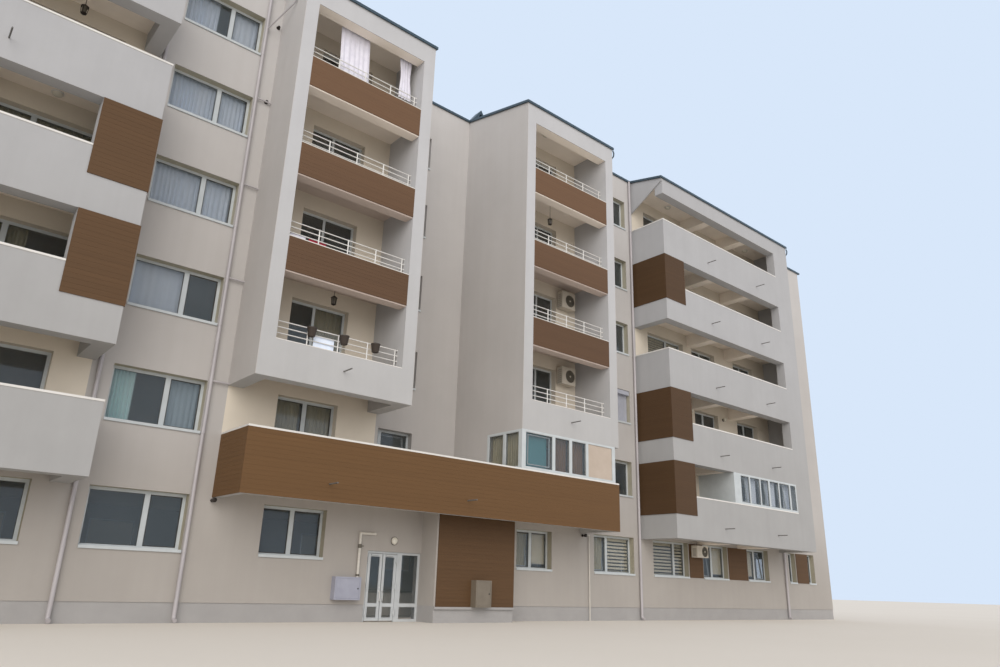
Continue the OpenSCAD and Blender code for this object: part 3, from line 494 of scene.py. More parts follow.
# Each as material name, shader values, painter and what the painter takes
FINISHES = {
    "wall": ("wall_mineral_render", {"Roughness": 0.92, "IOR": 1.45}, wall_render),
    "box": ("box_mineral_render", {"Roughness": 0.9, "IOR": 1.45}, balcony_render, 1.0),
    "balcony": ("balcony_mineral_render", {"Roughness": 0.9, "IOR": 1.45}, balcony_render, 0.84),
    # The same boards in lit and shaded copies: the loggia copy lighter and bluer as a painted sky sheen, the
    # corner, wall and sign copies darker as painted shade.
    "boards": ("brown_laminate_board", LAMINATE, boards, 0.92, (1.0, 0.97, 0.85)),
    "loggia_boards": ("loggia_laminate_board", LAMINATE, boards, 1.05, (1.0, 1.02, 1.2), 0.7),
    "shaded_boards": ("mid_laminate_board", LAMINATE, boards, 0.7),
    "deep_shade_boards": ("dark_laminate_board", LAMINATE, boards, 0.55),
    "cabinet": ("cabinet_powder_coat", {"Roughness": 0.42}, cabinet_enamel),
    # Painted cast concrete: flat emulsion over board marks, dusty and dull; its light warm colour is partly painted
    # bounce light
    "concrete": ("painted_concrete", {"Roughness": 0.95, "IOR": 1.45}, plain,
                 (("soffit", 0.95), ("soffit", 1.05)), 1.3, 60.0, 1.5),
    # Coil-coated steel sheet: dark petrol-grey polyester paint with a soft sheen and slight oil-canning
    "roof": ("coated_steel_sheet", {"Roughness": 0.42}, plain, (("roof", 0.9), ("roof", 1.15)), 1.2, 2.0, 3.0),
    # White extruded PVC: smooth, slightly glossy, faintly dusty on its flat faces
    "pvc": ("white_window_pvc", {"Roughness": 0.35, "IOR": 1.53}, plain, ("#B9BFC1", "#C4CACC"), 3.0, 250.0, 0.1),
    # The entrance's extruded PVC: cooler and greyer than the windows, smooth, handled and dusty
    "door_pvc": ("grey_white_pvc", {"Roughness": 0.38, "IOR": 1.53}, plain, ("#B6BABC", "#C0C4C6"), 3.0, 250.0,
                 0.1),
    # Double-glazed float glass: one pane with the shine of its four faces, a cool grey that lets the room show
    "glass": ("float_glass", {"Roughness": 0.03, "IOR": 2.1, "Alpha": 0.25}, plain, ("#4C5759", "#5C686E"), 0.7,
              1.5, 0.6),
    # Powder-coated steel tube: off-white, satin, with a fine orange-peel skin
    "railing": ("powder_coated_steel", {"Roughness": 0.38}, plain, ("#D2D1CE", "#DEDDDA"), 4.0, 500.0, 0.15),
    # Folded pre-painted sheet on the parapets: near white, satin, dulled by dust
    "coping": ("prepainted_coping_sheet", {"Roughness": 0.45}, plain, ("#D3D1CD", "#DFDDD9"), 2.0, 6.0, 0.6),
    # Pre-painted seamed pipe: lilac grey, satin, with a little grime at the joints
    "pipe": ("prepainted_pipe", {"Roughness": 0.4}, plain, ("#A5A1A4", "#B7B3B5"), 2.0, 30.0, 0.3, 0.3),
    # Bare zinc spouts: dark grey, dull, streaked by the water that runs along them
    "spout": ("weathered_zinc", {"Roughness": 0.55}, plain, ("#5F5D5B", "#716F6C"), 6.0, 60.0, 0.3),
    # Brushed oil enamel on steel gas pipe: pale, slightly glossy, with brush ridges along the pipe
    "gas": ("brushed_oil_enamel", {"Roughness": 0.32}, plain, ("#C6C2B9", "#D4D0C7"), 6.0, 120.0, 0.4),
    # Black extruded EPDM seal: matt and almost without light
    "gasket": ("epdm_gasket", {"Roughness": 0.7}, plain, ("#3B3936", "#46443F"), 20.0, 300.0, 0.05),
    # Painted galvanised casing of a cooling unit: cream white, satin, weathered to a warm grey
    "cooler": ("casing_enamel", {"Roughness": 0.48}, plain, ("#C4BDB0", "#D0C9BC"), 5.0, 60.0, 0.3),
    # Moulded polypropylene: black, satin, greyed by dust
    "black": ("moulded_polypropylene", {"Roughness": 0.55, "IOR": 1.49}, plain, ("#26251F", "#33322C"), 12.0,
              200.0, 0.1),
    # Pressed opal glass: milky white, smooth, softly glossy
    "opal": ("opal_glass", {"Roughness": 0.22}, plain, ("#D9D5C8", "#E4E0D4"), 8.0, 30.0, 0.1),
    # Smoked lantern glass: dull brown-grey, smooth, filmed with dust
    "smoked": ("smoked_glass", {"Roughness": 0.3}, plain, ("#4B463D", "#5E584C"), 8.0, 30.0, 0.1),
    # Blackened wrought iron: dark brown-black, dull, dimpled by the hammer
    "iron": ("blackened_iron", {"Roughness": 0.5, "Metallic": 0.6}, plain, ("#2A2522", "#3B3430"), 15.0, 90.0, 0.6),
    # Brushed stainless steel of pulls and locks: pale grey with fine grain along its length
    "steel": ("brushed_stainless", {"Roughness": 0.3, "Metallic": 1.0}, plain, ("#BDBCB8", "#CBCAC6"), 8.0, 200.0,
              0.05, 0.1),
    # Woven polyester voile: soft and matt, its thread lines drawn at 8 mm to show at all
    "voile": ("white_voile", VOILE, plain, ("#E0ECFF", "#EDF4FF"), 3.0, 120.0, 0.6, 0.15),
    "mint_voile": ("mint_voile", VOILE, plain, ("#D0F0F0", "#DAF8F8"), 3.0, 120.0, 0.6, 0.15),
    "grey_voile": ("grey_voile", VOILE, plain, ("#A6B7C2", "#B0C1CC"), 3.0, 120.0, 0.6, 0.15),
    # Woven linen-cotton curtain: olive beige, matt, with slubs drawn at 8 mm
    "linen": ("linen_curtain", CLOTH, plain, ("#B5AD90", "#C9C1A4"), 4.0, 120.0, 0.8, 0.2),
    # Woven linen curtain: sandy brown, matt, with slubs drawn at 8 mm
    "brown_linen": ("brown_linen_curtain", CLOTH, plain, ("#74502F", "#82603F"), 4.0, 120.0, 0.8, 0.2),
    # A flat blue-green sheet hung as a roller blind in the glazed bay's first pane, matt, with a faint weave: a
    # painted reflection
    "roller_cloth": ("coated_roller_cloth", {"Roughness": 0.8, "IOR": 1.45}, plain, ("#4F8F98", "#5B9BA4"), 2.0,
                     90.0, 0.4),
    # Roll-formed shutter slats: cool grey lacquer, satin, dulled by dust
    "shutter": ("shutter_lacquer", {"Roughness": 0.45}, plain, ("#A4A7B1", "#AEB1BC"), 2.0, 60.0, 0.3),
    # Dyed cotton: deep red, matt and slightly creased
    "red_cotton": ("dyed_cotton", CLOTH, plain, ("#8A1F33", "#A22C40"), 5.0, 40.0, 1.5),
    # Bleached cotton sheet: white, matt and slightly creased
    "cotton": ("bleached_cotton", {"Roughness": 0.9, "IOR": 1.45, "Sheen Weight": 0.3}, plain,
               ("#D5D4E1", "#E4E3EE"), 5.0, 40.0, 1.5),
    # Laminated infill panel of the glazed bay: pinkish beige, satin, slightly faded
    "panel": ("beige_laminate_panel", {"Roughness": 0.5}, plain, ("#B3A495", "#BDAFA1"), 1.5, 4.0, 0.4),
    # Enamelled wire and shadowed well of a fan: brown-grey, dull, dusty
    "grille": ("grille_enamel", {"Roughness": 0.6}, plain, ("#5F5A50", "#6E695F"), 8.0, 120.0, 0.2),
    # Coated blind fabric: beige, matt, slightly faded in the sun
    "blind": ("coated_blind_fabric", {"Roughness": 0.75, "IOR": 1.45}, plain, ("#F0E6CA", "#F9F1DA"), 2.0, 150.0,
              0.3),
    # White coated roller fabric: matt and even, dulled behind the pane
    "white_blind": ("white_roller_fabric", {"Roughness": 0.75, "IOR": 1.45}, plain, ("#E6E4E2", "#F2F0EE"), 2.0,
                    150.0, 0.3),
    # Woven dark resin planter: brown-black, satin, with its weave drawn at 20 mm
    "basket": ("woven_resin", {"Roughness": 0.6}, plain, ("#2F2723", "#43382F"), 50.0, 50.0, 2.0),
    # Matt paper floor of the stage
    "floor": ("pale_floor", {"Roughness": 0.9}, plain, ("#DDD6CB", "#E0D9CF"), 0.1, 1.0, 0.0),
}
SLOT_FINISH = {
    "concrete": "concrete", "roof_sheet": "roof", "wall_render": "wall", "balcony_render": "balcony",
    "white_frame": "pvc", "window_glass": "glass", "brown_cladding": "boards", "railing_paint": "railing",
    "coping_paint": "coping", "pipe_paint": "pipe", "cabinet_paint": "cabinet", "cooler_paint": "cooler",
    "lamp_glass": "opal",
}
NODE_FINISH = {
    "gas_pipes": "gas", "rain_spouts": "spout", "left_loggia_frame": "box", "right_loggia_frame": "box",
    "left_loggia_floors": "box", "right_loggia_floors": "box", "canopy_parapet": "box",
    "entrance_frame": "door_pvc", "entrance_leaf_left": "door_pvc", "entrance_leaf_right": "door_pvc",
}


def swatch(label, text, hex_code):
    """A colour to choose."""
    return bpy.props.FloatVectorProperty(name=label, description=text, size=4, subtype="COLOR", min=0, max=1,
                                         default=linear(hex_code))


def measure(label, text, value, low, high):
    """A length to choose."""
    return bpy.props.FloatProperty(name=label, description=text, default=value, min=low, max=high, unit="LENGTH")


class BlockColours(bpy.types.PropertyGroup):
    """Main colours of the finish."""
    wall: swatch("Wall", "Render of the main walls", "#B7B5B4")
    # Lighter and warmer than the walls: painted bounce light inside the balconies.
    inner_wall: swatch("Inner wall", "Paint inside the balconies", "#D6CDBE")
    parapet: swatch("Parapet", "Render of parapets and boxes", "#BBBCBF")
    # Lightened and warmed as painted bounce light under the balcony floors.
    soffit: swatch("Soffit", "Paint under the balcony floors", "#F2E9DE")
    boards: swatch("Boards", "Brown laminate boards", "#6B5036")
    roof: swatch("Roof", "Coated roof sheet", "#33444F")


class BlockSizes(bpy.types.PropertyGroup):
    """Sizes of the finish, in the real building's metres."""
    board_pitch: measure("Board pitch", "Height of a board with its groove", 0.12, 0.05, 0.3)
    groove: measure("Groove", "Width of the groove between two boards", 0.003, 0.002, 0.02)
    seam_pitch: measure("Seam pitch", "Distance between the roof's seams", 0.5, 0.3, 0.8)
    seam_height: measure("Seam height", "Height of a roof seam", 0.025, 0.01, 0.035)
    sash_width: measure("Sash width", "Width of a sash bead round a pane", 0.012, 0.008, 0.04)
    coping_height: measure("Coping height", "Face height of a parapet coping", 0.05, 0.03, 0.1)
    fold_depth: measure("Fold depth", "Depth of a curtain's folds", 0.03, 0.01, 0.06)


class BLOCK_OT_stage(bpy.types.Operator):
    """Adds the floor, the soft light and the camera"""
    bl_idname = "block.stage"
    bl_label = "Stage"

    def execute(self, context):
        bpy.ops.mesh.primitive_plane_add(size=600, location=(0, 0, -0.0005))
        floor = settle()
        floor.name = floor.data.name = "stage_floor"
        floor.data.materials.append(coat("floor"))
        bpy.ops.object.light_add(type="SUN", rotation=(math.radians(64), 0, math.radians(-36)))
        sun = bpy.context.object
        sun.name = "soft_key"
        sun.data.energy = 1.9
        sun.data.angle = math.radians(55)
        sun.data.color = linear("#FFF8F0")[:3]
        # A clear sky to the eye, in mirrors and through panes, and a softer and greyer one as light
        world = bpy.data.worlds.new("studio")
        context.scene.world = world
        world.use_nodes = True
        tree = world.node_tree
        tree.nodes.clear()
        rays = add(tree, "ShaderNodeLightPath").outputs
        seen = add(tree, "ShaderNodeMath", {0: rays["Is Camera Ray"], 1: rays["Is Glossy Ray"]},
                   operation="MAXIMUM").outputs[0]
        clear = add(tree, "ShaderNodeMath", {0: seen, 1: rays["Is Transmission Ray"]}, operation="MAXIMUM")
        light = add(tree, "ShaderNodeBackground", {"Color": linear("#F1F3F8"), "Strength": 0.82})
        pale = add(tree, "ShaderNodeBackground", {"Color": linear("#D8E7FA"), "Strength": 1.0})
        mix = add(tree, "ShaderNodeMixShader", {0: clear.outputs[0], 1: light.outputs[0], 2: pale.outputs[0]})
        add(tree, "ShaderNodeOutputWorld", {"Surface": mix.outputs[0]})
        # The photograph's camera: its turn from the front's normal, and its focal length in pixels of its width
        heading, pitch, roll = (math.radians(a) for a in (40.09, 18.82, 1.7175))
        focal, width, sensor = 747.2, 1000, 36
        ahead = Vector((math.sin(heading) * math.cos(pitch), math.cos(heading) * math.cos(pitch), math.sin(pitch)))
        right = Vector((math.cos(heading), -math.sin(heading), 0))
        up = right.cross(ahead)
        side = right * math.cos(roll) + up * math.sin(roll)
        top = up * math.cos(roll) - right * math.sin(roll)
        bpy.ops.object.camera_add(location=at(-14.14, -19.92, 1.025),
                                  rotation=Matrix((side, top, -ahead)).transposed().to_euler())
        camera = bpy.context.object
        camera.data.sensor_fit = "HORIZONTAL"
        camera.data.sensor_width = sensor
        camera.data.lens = focal / width * sensor
        camera.data.clip_start = 0.05
        camera.data.clip_end = 1000
        context.scene.camera = camera
        context.scene.view_settings.view_transform = "Standard"
        return {"FINISHED"}


class BLOCK_OT_shell(bpy.types.Operator):
    """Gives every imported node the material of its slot"""
    bl_idname = "block.shell"
    bl_label = "Shell materials"

    def execute(self, context):
        for row in frame["record"]["subparts"]:
            node = frame["nodes"][row["node"]]
            material = coat(NODE_FINISH.get(row["node"], SLOT_FINISH[row["material_slot"]]))
            if node.material_slots:
                for slot in node.material_slots:
                    slot.material = material
            else:
                node.data.materials.append(material)
        return {"FINISHED"}


def lay_boards(low, high, face="-Y"):
    """Grooved boards with their backing between two real corners, facing -Y, -X or X."""
    groove, lap = sizes().groove, 0.004
    rows = max(1, round((high[2] - low[2]) / sizes().board_pitch))
    pitch = (high[2] - low[2]) / rows
    # Corners of the lowest board and of the backing
    a, b, c, d = list(low), list(high), list(low), list(high)
    axis = 1 if face == "-Y" else 0
    if face == "X":
        a[0] = high[0] - groove - lap
        d[0] = high[0] - groove
    else:
        b[axis] = low[axis] + groove + lap
        c[axis] = low[axis] + groove
    b[2] = low[2] + pitch - groove
    return [arrayed(block(a, b, 0.0012), rows, pitch), block(c, d)]


class BLOCK_OT_boards(bpy.types.Operator):
    """Lays the brown boards of the canopy, loggias, corners, wall panels and sign wall"""
    bl_idname = "block.boards"
    bl_label = "Brown boards"

    def execute(self, context):
        end = 7.0
        z0, z1 = level(1) + BAND_LOW, level(1) + BAND_HIGH - 0.05
        parts = lay_boards((-end, FRONT_Y, z0), (end, BOARDED_Y, z1))
        parts += lay_boards((-end, BOARDED_Y, z0), (0.03 - end, 0.0, z1), "-X")
        parts += lay_boards((end - 0.03, BOARDED_Y, z0), (end, 0.0, z1), "X")
        finish("canopy_boards", parts, "boards", stands_for=("canopy_cladding",))
        for side, word in WORDS.items():
            x0, x1 = span(side, *LOGGIA_OPEN)
            one = join(lay_boards((x0, FRONT_Y, level(3) + BAND_LOW + 0.04), (x1, BOARDED_Y, level(3) + UPSTAND)))
            finish(word + "_loggia_boards", upwards(one, range(3)), "loggia_boards",
                   stands_for=(word + "_loggia_cladding",))
            floors, skin = CORNERS[side], 0.025
            z0, z1 = level(floors[0]) + 0.2, level(floors[0] + 1) + BAND_LOW
            x0, x1 = span(side, STACK_IN - skin, CORNER_END)
            parts = lay_boards((x0, FRONT_Y - skin, z0), (x1, FRONT_Y, z1))
            x0, x1 = span(side, STACK_IN - skin, STACK_IN)
            parts += lay_boards((x0, FRONT_Y, z0), (x1, 0.0, z1), "-X" if side > 0 else "X")
            # Painted shade: the corner boards take a darker copy of the boards, the right ones the darkest.
            kind = "shaded_boards" if side < 0 else "deep_shade_boards"
            finish(word + "_corner_boards", upwards(join(parts), floors), kind,
                   stands_for=(word + "_corner_panels",))
        parts = []
        for side in WORDS:
            for a, b, top, floors in ((13.5, 14.45, level(1) + BAND_LOW, 1), (16.4, 17.9, level(1) + BAND_LOW, 1),
                                      (22.3, 23.4, level(0) + HEAD, TOP)):
                x0, x1 = span(side, a, b)
                parts += upwards(join(lay_boards((x0, -0.025, level(0) + SILL), (x1, 0.0, top))), range(floors))
        # Painted shade: the wall and sign boards take a darker copy of the boards.
        finish("wall_boards", parts, "shaded_boards", stands_for=("wall_panels",))
        finish("sign_boards", lay_boards((-0.24, -0.82, 0.45), (2.84, -0.79, level(1) - 0.225)), "shaded_boards",
               stands_for=("sign_panel",))
        return {"FINISHED"}


class BLOCK_OT_roof(bpy.types.Operator):
    """Adds the roof's standing seams, hood louvres and the bent pipes at its eaves"""
    bl_idname = "block.roof"
    bl_label = "Roof details"

    def execute(self, context):
        pitch, slope, ridge, foot = sizes().seam_pitch, 0.25, DEPTH / 2, level(TOP) + 0.115
        count = int(2 * (HALF_LENGTH + 0.12) / pitch)
        # The seams' places by where they start: at the front of a box, wall or recess, or None at the rear
        groups = {}
        for i in range(count):
            x = pitch * (i - (count - 1) / 2)
            out = abs(x)
            boxed = RECESS - EAVE < out < LOGGIA_OUT + EAVE or STACK_IN - EAVE < out < STACK_OUT + EAVE
            start = FRONT_Y if boxed else (0.0 if out > RECESS - EAVE else RECESS_Y)
            groups.setdefault(start, []).append(x)
            groups.setdefault(None, []).append(x)
        parts = []
        for start, places in groups.items():
            y0, y1 = (DEPTH + EAVE, ridge + 0.16) if start is None else (start - EAVE, ridge - 0.16)
            z0, z1 = (foot + slope * (-FRONT_Y + (DEPTH - y if start is None else y)) for y in (y0, y1))
            x, tall = places[0], 2 * sizes().seam_height
            parts += along(leaning((x, y0, z0), (x, y1, z1), 0.018, tall, 0.003), places)
        finish("roof_seams", parts, "roof")
        parts = []
        base, half, tall, x, y = foot + slope * (RECESS_Y - FRONT_Y), 0.56, 0.82, 2.79, 2.02
        for i in range(5):
            z = base + 0.1 + 0.1 * i
            reach = half * (1 - (z - base) / tall) - 0.1
            slat = block((x - reach, y - 0.05, z - 0.006), (x + reach, y + 0.05, z + 0.006), 0.002)
            parts.append(tilt(slat, (0, y, z), -35))
        finish("hood_louvres", parts, "coping")
        bends = ((0.0, -1.80, 18.76), (0.02, -1.83, 18.62), (0.03, -1.80, 18.50), (-0.04, -1.72, 18.34),
                 (-0.06, -1.70, 18.26))
        pipe = tube([(STACK_OUT + 0.08 + x, y, z) for x, y, z in bends], 0.03)
        finish("eave_pipes", both_sides(along(pipe, (STACK_OUT, LOGGIA_OUT - 0.02))), "roof")
        return {"FINISHED"}


class BLOCK_OT_copings(bpy.types.Operator):
    """Adds the thin folded copings on the parapets and upstands"""
    bl_idname = "block.copings"
    bl_label = "Copings"

    def execute(self, context):
        face, out, thick = sizes().coping_height, 0.014, 0.2
        for side, word in WORDS.items():
            parts = []
            for n in range(1, TOP):
                z, corner = level(n) + BAND_HIGH, n in CORNERS[side]
                x0, x1 = span(side, CORNER_END if corner else STACK_IN - out, STACK_OPEN)
                parts.append(block((x0, FRONT_Y - out, z - face), (x1, FRONT_Y + thick + out, z + 0.004), 0.004))
                if not corner:
                    x0, x1 = span(side, STACK_IN - out, STACK_IN + thick + out)
                    parts.append(block((x0, FRONT_Y + thick, z - face), (x1, 0.0, z + 0.004), 0.004))
            finish(word + "_stack_copings", parts, "coping")
            x0, x1 = span(side, *LOGGIA_OPEN)
            z = level(2) + UPSTAND
            one = block((x0, FRONT_Y - 0.006, z - 0.02), (x1, FRONT_Y + 0.41, z + 0.006), 0.003)
            finish(word + "_loggia_copings", upwards(one, range(4)), "coping")
        return {"FINISHED"}


def front_openings():
    """The windows of the front as (low x, high x, sill, head, mullion share, face)."""
    found = []
    for side in WORDS:
        half = []
        for n in range(TOP):
            low, high = level(n) + SILL, level(n) + HEAD
            half.append((*STRIP, low, high, (STRIP_MULLION - STRIP[0]) / (STRIP[1] - STRIP[0])))
            inner = (11.25, 13.85, low, high, 0.6) if n else (11.1, 13.45, low, high, 0.69)
            half += [inner, (14.5, 16.35, level(n) if n else low, high, 0.5), (17.95, 19.75, low, high, 0.5),
                     (21.6, 22.25, low, high, 0.5), (23.45, 24.1, low, high, 0.5)]
            if n > 1:
                half += [(3.6, 4.62 + FRAME_W, low, high, 0), (4.62, 5.5, level(n), high, 0)]
        half += [(3.65, 5.55, level(1) + SILL, level(1) + HEAD, 0.5),
                 (3.65, 5.35 if side > 0 else 5.55, level(0) + SILL, level(0) + 2.225, 0.5)]
        for x0, x1, z0, z1, share in half:
            if side < 0:
                x0, x1, share = -x1, -x0, 1 - share if share else 0
            found.append((x0, x1, z0, z1, share, 0.0))
    return found + [(-1.35, 0.33, level(n) + SILL, level(n) + HEAD, 0.3, RECESS_Y) for n in range(1, TOP)]


def plain_openings(centres, width):
    """Windows of one width in plain rows on every storey, as front_openings gives them."""
    return [(x - width / 2, x + width / 2, level(n) + SILL, level(n) + HEAD, 0.5, 0.0)
            for n in range(TOP) for x in centres]


def panes(opening):
    """The panes of a window as (low x, high x)."""
    x0, x1, share = opening[0], opening[1], opening[4]
    if share == 0:
        return [(x0 + FRAME_W, x1 - FRAME_W)]
    mid = x0 + (x1 - x0) * share
    return [(x0 + FRAME_W, mid - MULLION_W / 2), (mid + MULLION_W / 2, x1 - FRAME_W)]


def glazing(low, high, width, seal_width, seal_depth):
    """A sash bead round a pane between two real corners, and the gasket inside it."""
    return (ring(low, high, width),
            ring((low[0] + width, high[1] - seal_depth, low[2] + width),
                 (high[0] - width, high[1], high[2] - width), seal_width, 0))


def sash_sets(openings):
    """Sash beads and gaskets of windows, from one model for each size of pane."""
    patterns = {}
    for opening in openings:
        z0, z1, face = opening[2] + FRAME_W, opening[3] - FRAME_W, opening[5]
        for x0, x1 in panes(opening):
            patterns.setdefault((round(x1 - x0, 4), round(z1 - z0, 4)), []).append((x0, face, z0))
    beads, seals = [], []
    for (w, h), places in patterns.items():
        x, face, z = places[0]
        y = face + REVEAL + 0.006
        # Partly painted shade: on panes under 0.9 m wide the black gasket is drawn 20 mm wide, a dark band for the
        # opening sash set back in its frame.
        bead, seal = glazing((x, y, z), (x + w, y + 0.022, z + h), sizes().sash_width, 0.02 if w < 0.9 else 0.007,
                             0.01)
        beads += repeat(bead, places)
        seals += repeat(seal, places)
    return beads, seals


def tipped(x0, x1, y, z0, z1, lean=7):
    """A sash tipped inwards about its lower edge."""
    return tilt(ring((x0, y, z0), (x1, y + 0.04, z1), 0.05, 0.004), (0, y + 0.02, z0), -lean)


class BLOCK_OT_sashes(bpy.types.Operator):
    """Adds the sash beads and gaskets round every pane, the tipped sashes and the infill panel"""
    bl_idname = "block.sashes"
    bl_label = "Window sashes"

    def execute(self, context):
        for word, openings, walls in (("front", front_openings(), (Matrix(),)),
                                      ("rear", plain_openings(REAR_X, REAR_W), (REAR,)),
                                      ("end", plain_openings(END_Y, END_W), ENDS)):
            for name, parts, kind in zip(("_sashes", "_gaskets"), sash_sets(openings), ("pvc", "gasket")):
                piece = join(parts)
                others = [twin(piece, wall) for wall in walls[1:]]
                piece.data.transform(walls[0])
                finish(word + name, [piece] + others, kind)
        # The glazed bays under the right loggia box, at its side, and in the right stack
        z0, z1 = GARDEN_Z
        width, seal_width, face = 0.018, 0.008, -1.79
        pairs = [glazing((x0, face, z0), (x1, face + 0.028, z1), width, seal_width, 0.012)
                 for x0, x1 in ((2.37, 3.62), (3.73, 4.44), (4.55, 5.27))]
        inner = ring((2.52, -1.72, z0 + 0.09), (3.54, -1.69, z1 - 0.05), 0.035)
        pairs += [glazing((x0, face, z0), (x1, face + 0.018, z1), width, seal_width, 0.01) for x0, x1 in
                  ((15.02, 15.68), (15.76, 16.54), (16.6, 17.26), (17.36, 18.11), (18.18, 19.05), (19.15, 19.62))]
        for y0, y1 in ((-1.63, -0.96), (-0.84, -0.09)):
            pairs.append(glazing((-y1, 0.01, z0), (-y0, 0.038, z1), width, seal_width, 0.012))
            for piece in pairs[-1]:
                piece.data.transform(GARDEN_SIDE)
        low, high = level(0) + SILL + 0.09, level(0) + HEAD - 0.09
        leaves = [tipped(x0, x1, 0.33, low, top) for x0, x1, top in
                  ((3.73, 4.43, high - 0.075), (7.64, 8.43, high), (14.58, 15.36, high), (18.92, 19.67, high))]
        leaves.append(tipped(-0.79, 0.26, 2.23, low + STOREY, high + STOREY))
        leaves += [tipped(x0, x1, -1.7, z0 + 0.03, z1 - 0.03, 5) for x0, x1 in
                   ((15.1, 15.62), (16.66, 17.2), (18.24, 18.8))]
        beads, seals = zip(*pairs)
        finish("garden_sashes", [*beads, inner, *leaves], "pvc")
        panel = block((5.384, -1.776, z0 + 0.004), (6.636, -1.768, z1 - 0.004), 0.002)
        finish("garden_infill", [panel], "panel")
        finish("garden_gaskets", list(seals), "gasket")
        return {"FINISHED"}


def hang(name, x0, x1, z0, z1, y, folds, depth, kind, rail, drift=0.0, pinch=0.0):
    """A curtain hung in folds from a rail between two sides."""
    across, down = max(4, folds * 8), 8
    bpy.ops.mesh.primitive_grid_add(x_subdivisions=across, y_subdivisions=down, size=1)
    piece = settle()
    for v in piece.data.vertices:
        u, t = v.co.x + 0.5, v.co.y + 0.5
        # Folds of uneven width, fuller towards the hem and drawn in at the middle where a curtain is tied
        turn = 2 * math.pi * folds * (u + 0.018 * math.sin(9.0 * u + x0))
        swell = depth * (0.55 + 0.45 * (1 - t)) * (1 + 0.3 * math.sin(5.0 * u + 2.0 * x0))
        waist = 1 - pinch * math.exp(-((t - 0.45) / 0.25) ** 2)
        x = (x0 + x1) / 2 + (x1 - x0) * (u - 0.5) * waist + drift * (1 - t)
        v.co = at(x, y + swell * math.cos(turn), z0 + (z1 - z0) * t)
    piece.data.update()
    smooth(modify(piece, "SOLIDIFY", thickness=0.0012 / RATIO, offset=0.0), 60)
    finish(name, [piece], kind)
    return piece


CURTAIN_DROP = 1.62
# Curtains behind the windows, each as name, low x, high x, storey, folds, depth share and finish
CURTAINS = (
    ("left_strip_5_left", -9.88, -8.85, 5, 9, 1.0, "voile"),
    ("left_strip_5_right", -8.44, -7.62, 5, 5, 0.6, "voile"),
    ("left_strip_4_left", -9.88, -8.54, 4, 12, 1.0, "voile"),
    ("left_strip_4_right", -8.44, -7.62, 4, 7, 0.8, "voile"),
    ("left_strip_3_left", -9.88, -8.54, 3, 11, 1.0, "voile"),
    ("left_strip_3_right", -8.44, -7.62, 3, 6, 1.0, "voile"),
    ("left_strip_2_left", -9.88, -8.54, 2, 6, 0.5, "voile"),
    ("left_strip_1_left", -9.88, -9.25, 1, 7, 1.2, "mint_voile"),
    ("left_strip_1_right", -8.44, -7.62, 1, 6, 0.7, "grey_voile"),
    ("left_canopy_left", -5.54, -4.66, 1, 7, 1.0, "linen"),
    ("left_canopy_right", -4.54, -3.66, 1, 7, 1.0, "linen"),
    ("left_loggia_2", -4.6, -3.62, 2, 8, 1.0, "linen"),
    ("left_stack_2", -13.84, -12.3, 2, 14, 1.0, "linen"),
    ("left_stack_3", -13.84, -11.26, 3, 20, 1.0, "linen"),
    ("right_ground_inner", 3.5, 4.5, 0, 7, 0.8, "linen"),
    ("right_ground_outer", 7.5, 8.48, 0, 7, 0.8, "linen"),
)
# Sheets in the glazed bays, each as name, low x, high x, y, folds, fold depth, finish and rail
BAY_SHEETS = (
    ("stack_curtain_a", 15.7, 16.56, -1.55, 6, 0.02, "voile", "stack_curtain_rail"),
    ("stack_curtain_b", 17.3, 18.16, -1.55, 6, 0.02, "voile", "stack_curtain_rail"),
    ("stack_curtain_c", 18.85, 19.64, -1.55, 6, 0.02, "voile", "stack_curtain_rail"),
    # The first sheet is a painted reflection in the bay's first pane.
    ("garden_roller", 2.56, 3.5, -1.6, 1, 0.0015, "roller_cloth", "garden_curtain_rail"),
    ("garden_curtain_mid", 3.7, 4.46, -1.6, 7, 0.025, "brown_linen", "garden_curtain_rail"),
    ("garden_curtain_right", 4.52, 5.3, -1.6, 8, 0.025, "brown_linen", "garden_curtain_rail"),
    ("garden_curtain_side", -1.6, -0.1, 0.16, 12, 0.025, "linen", "garden_curtain_rail"),
)


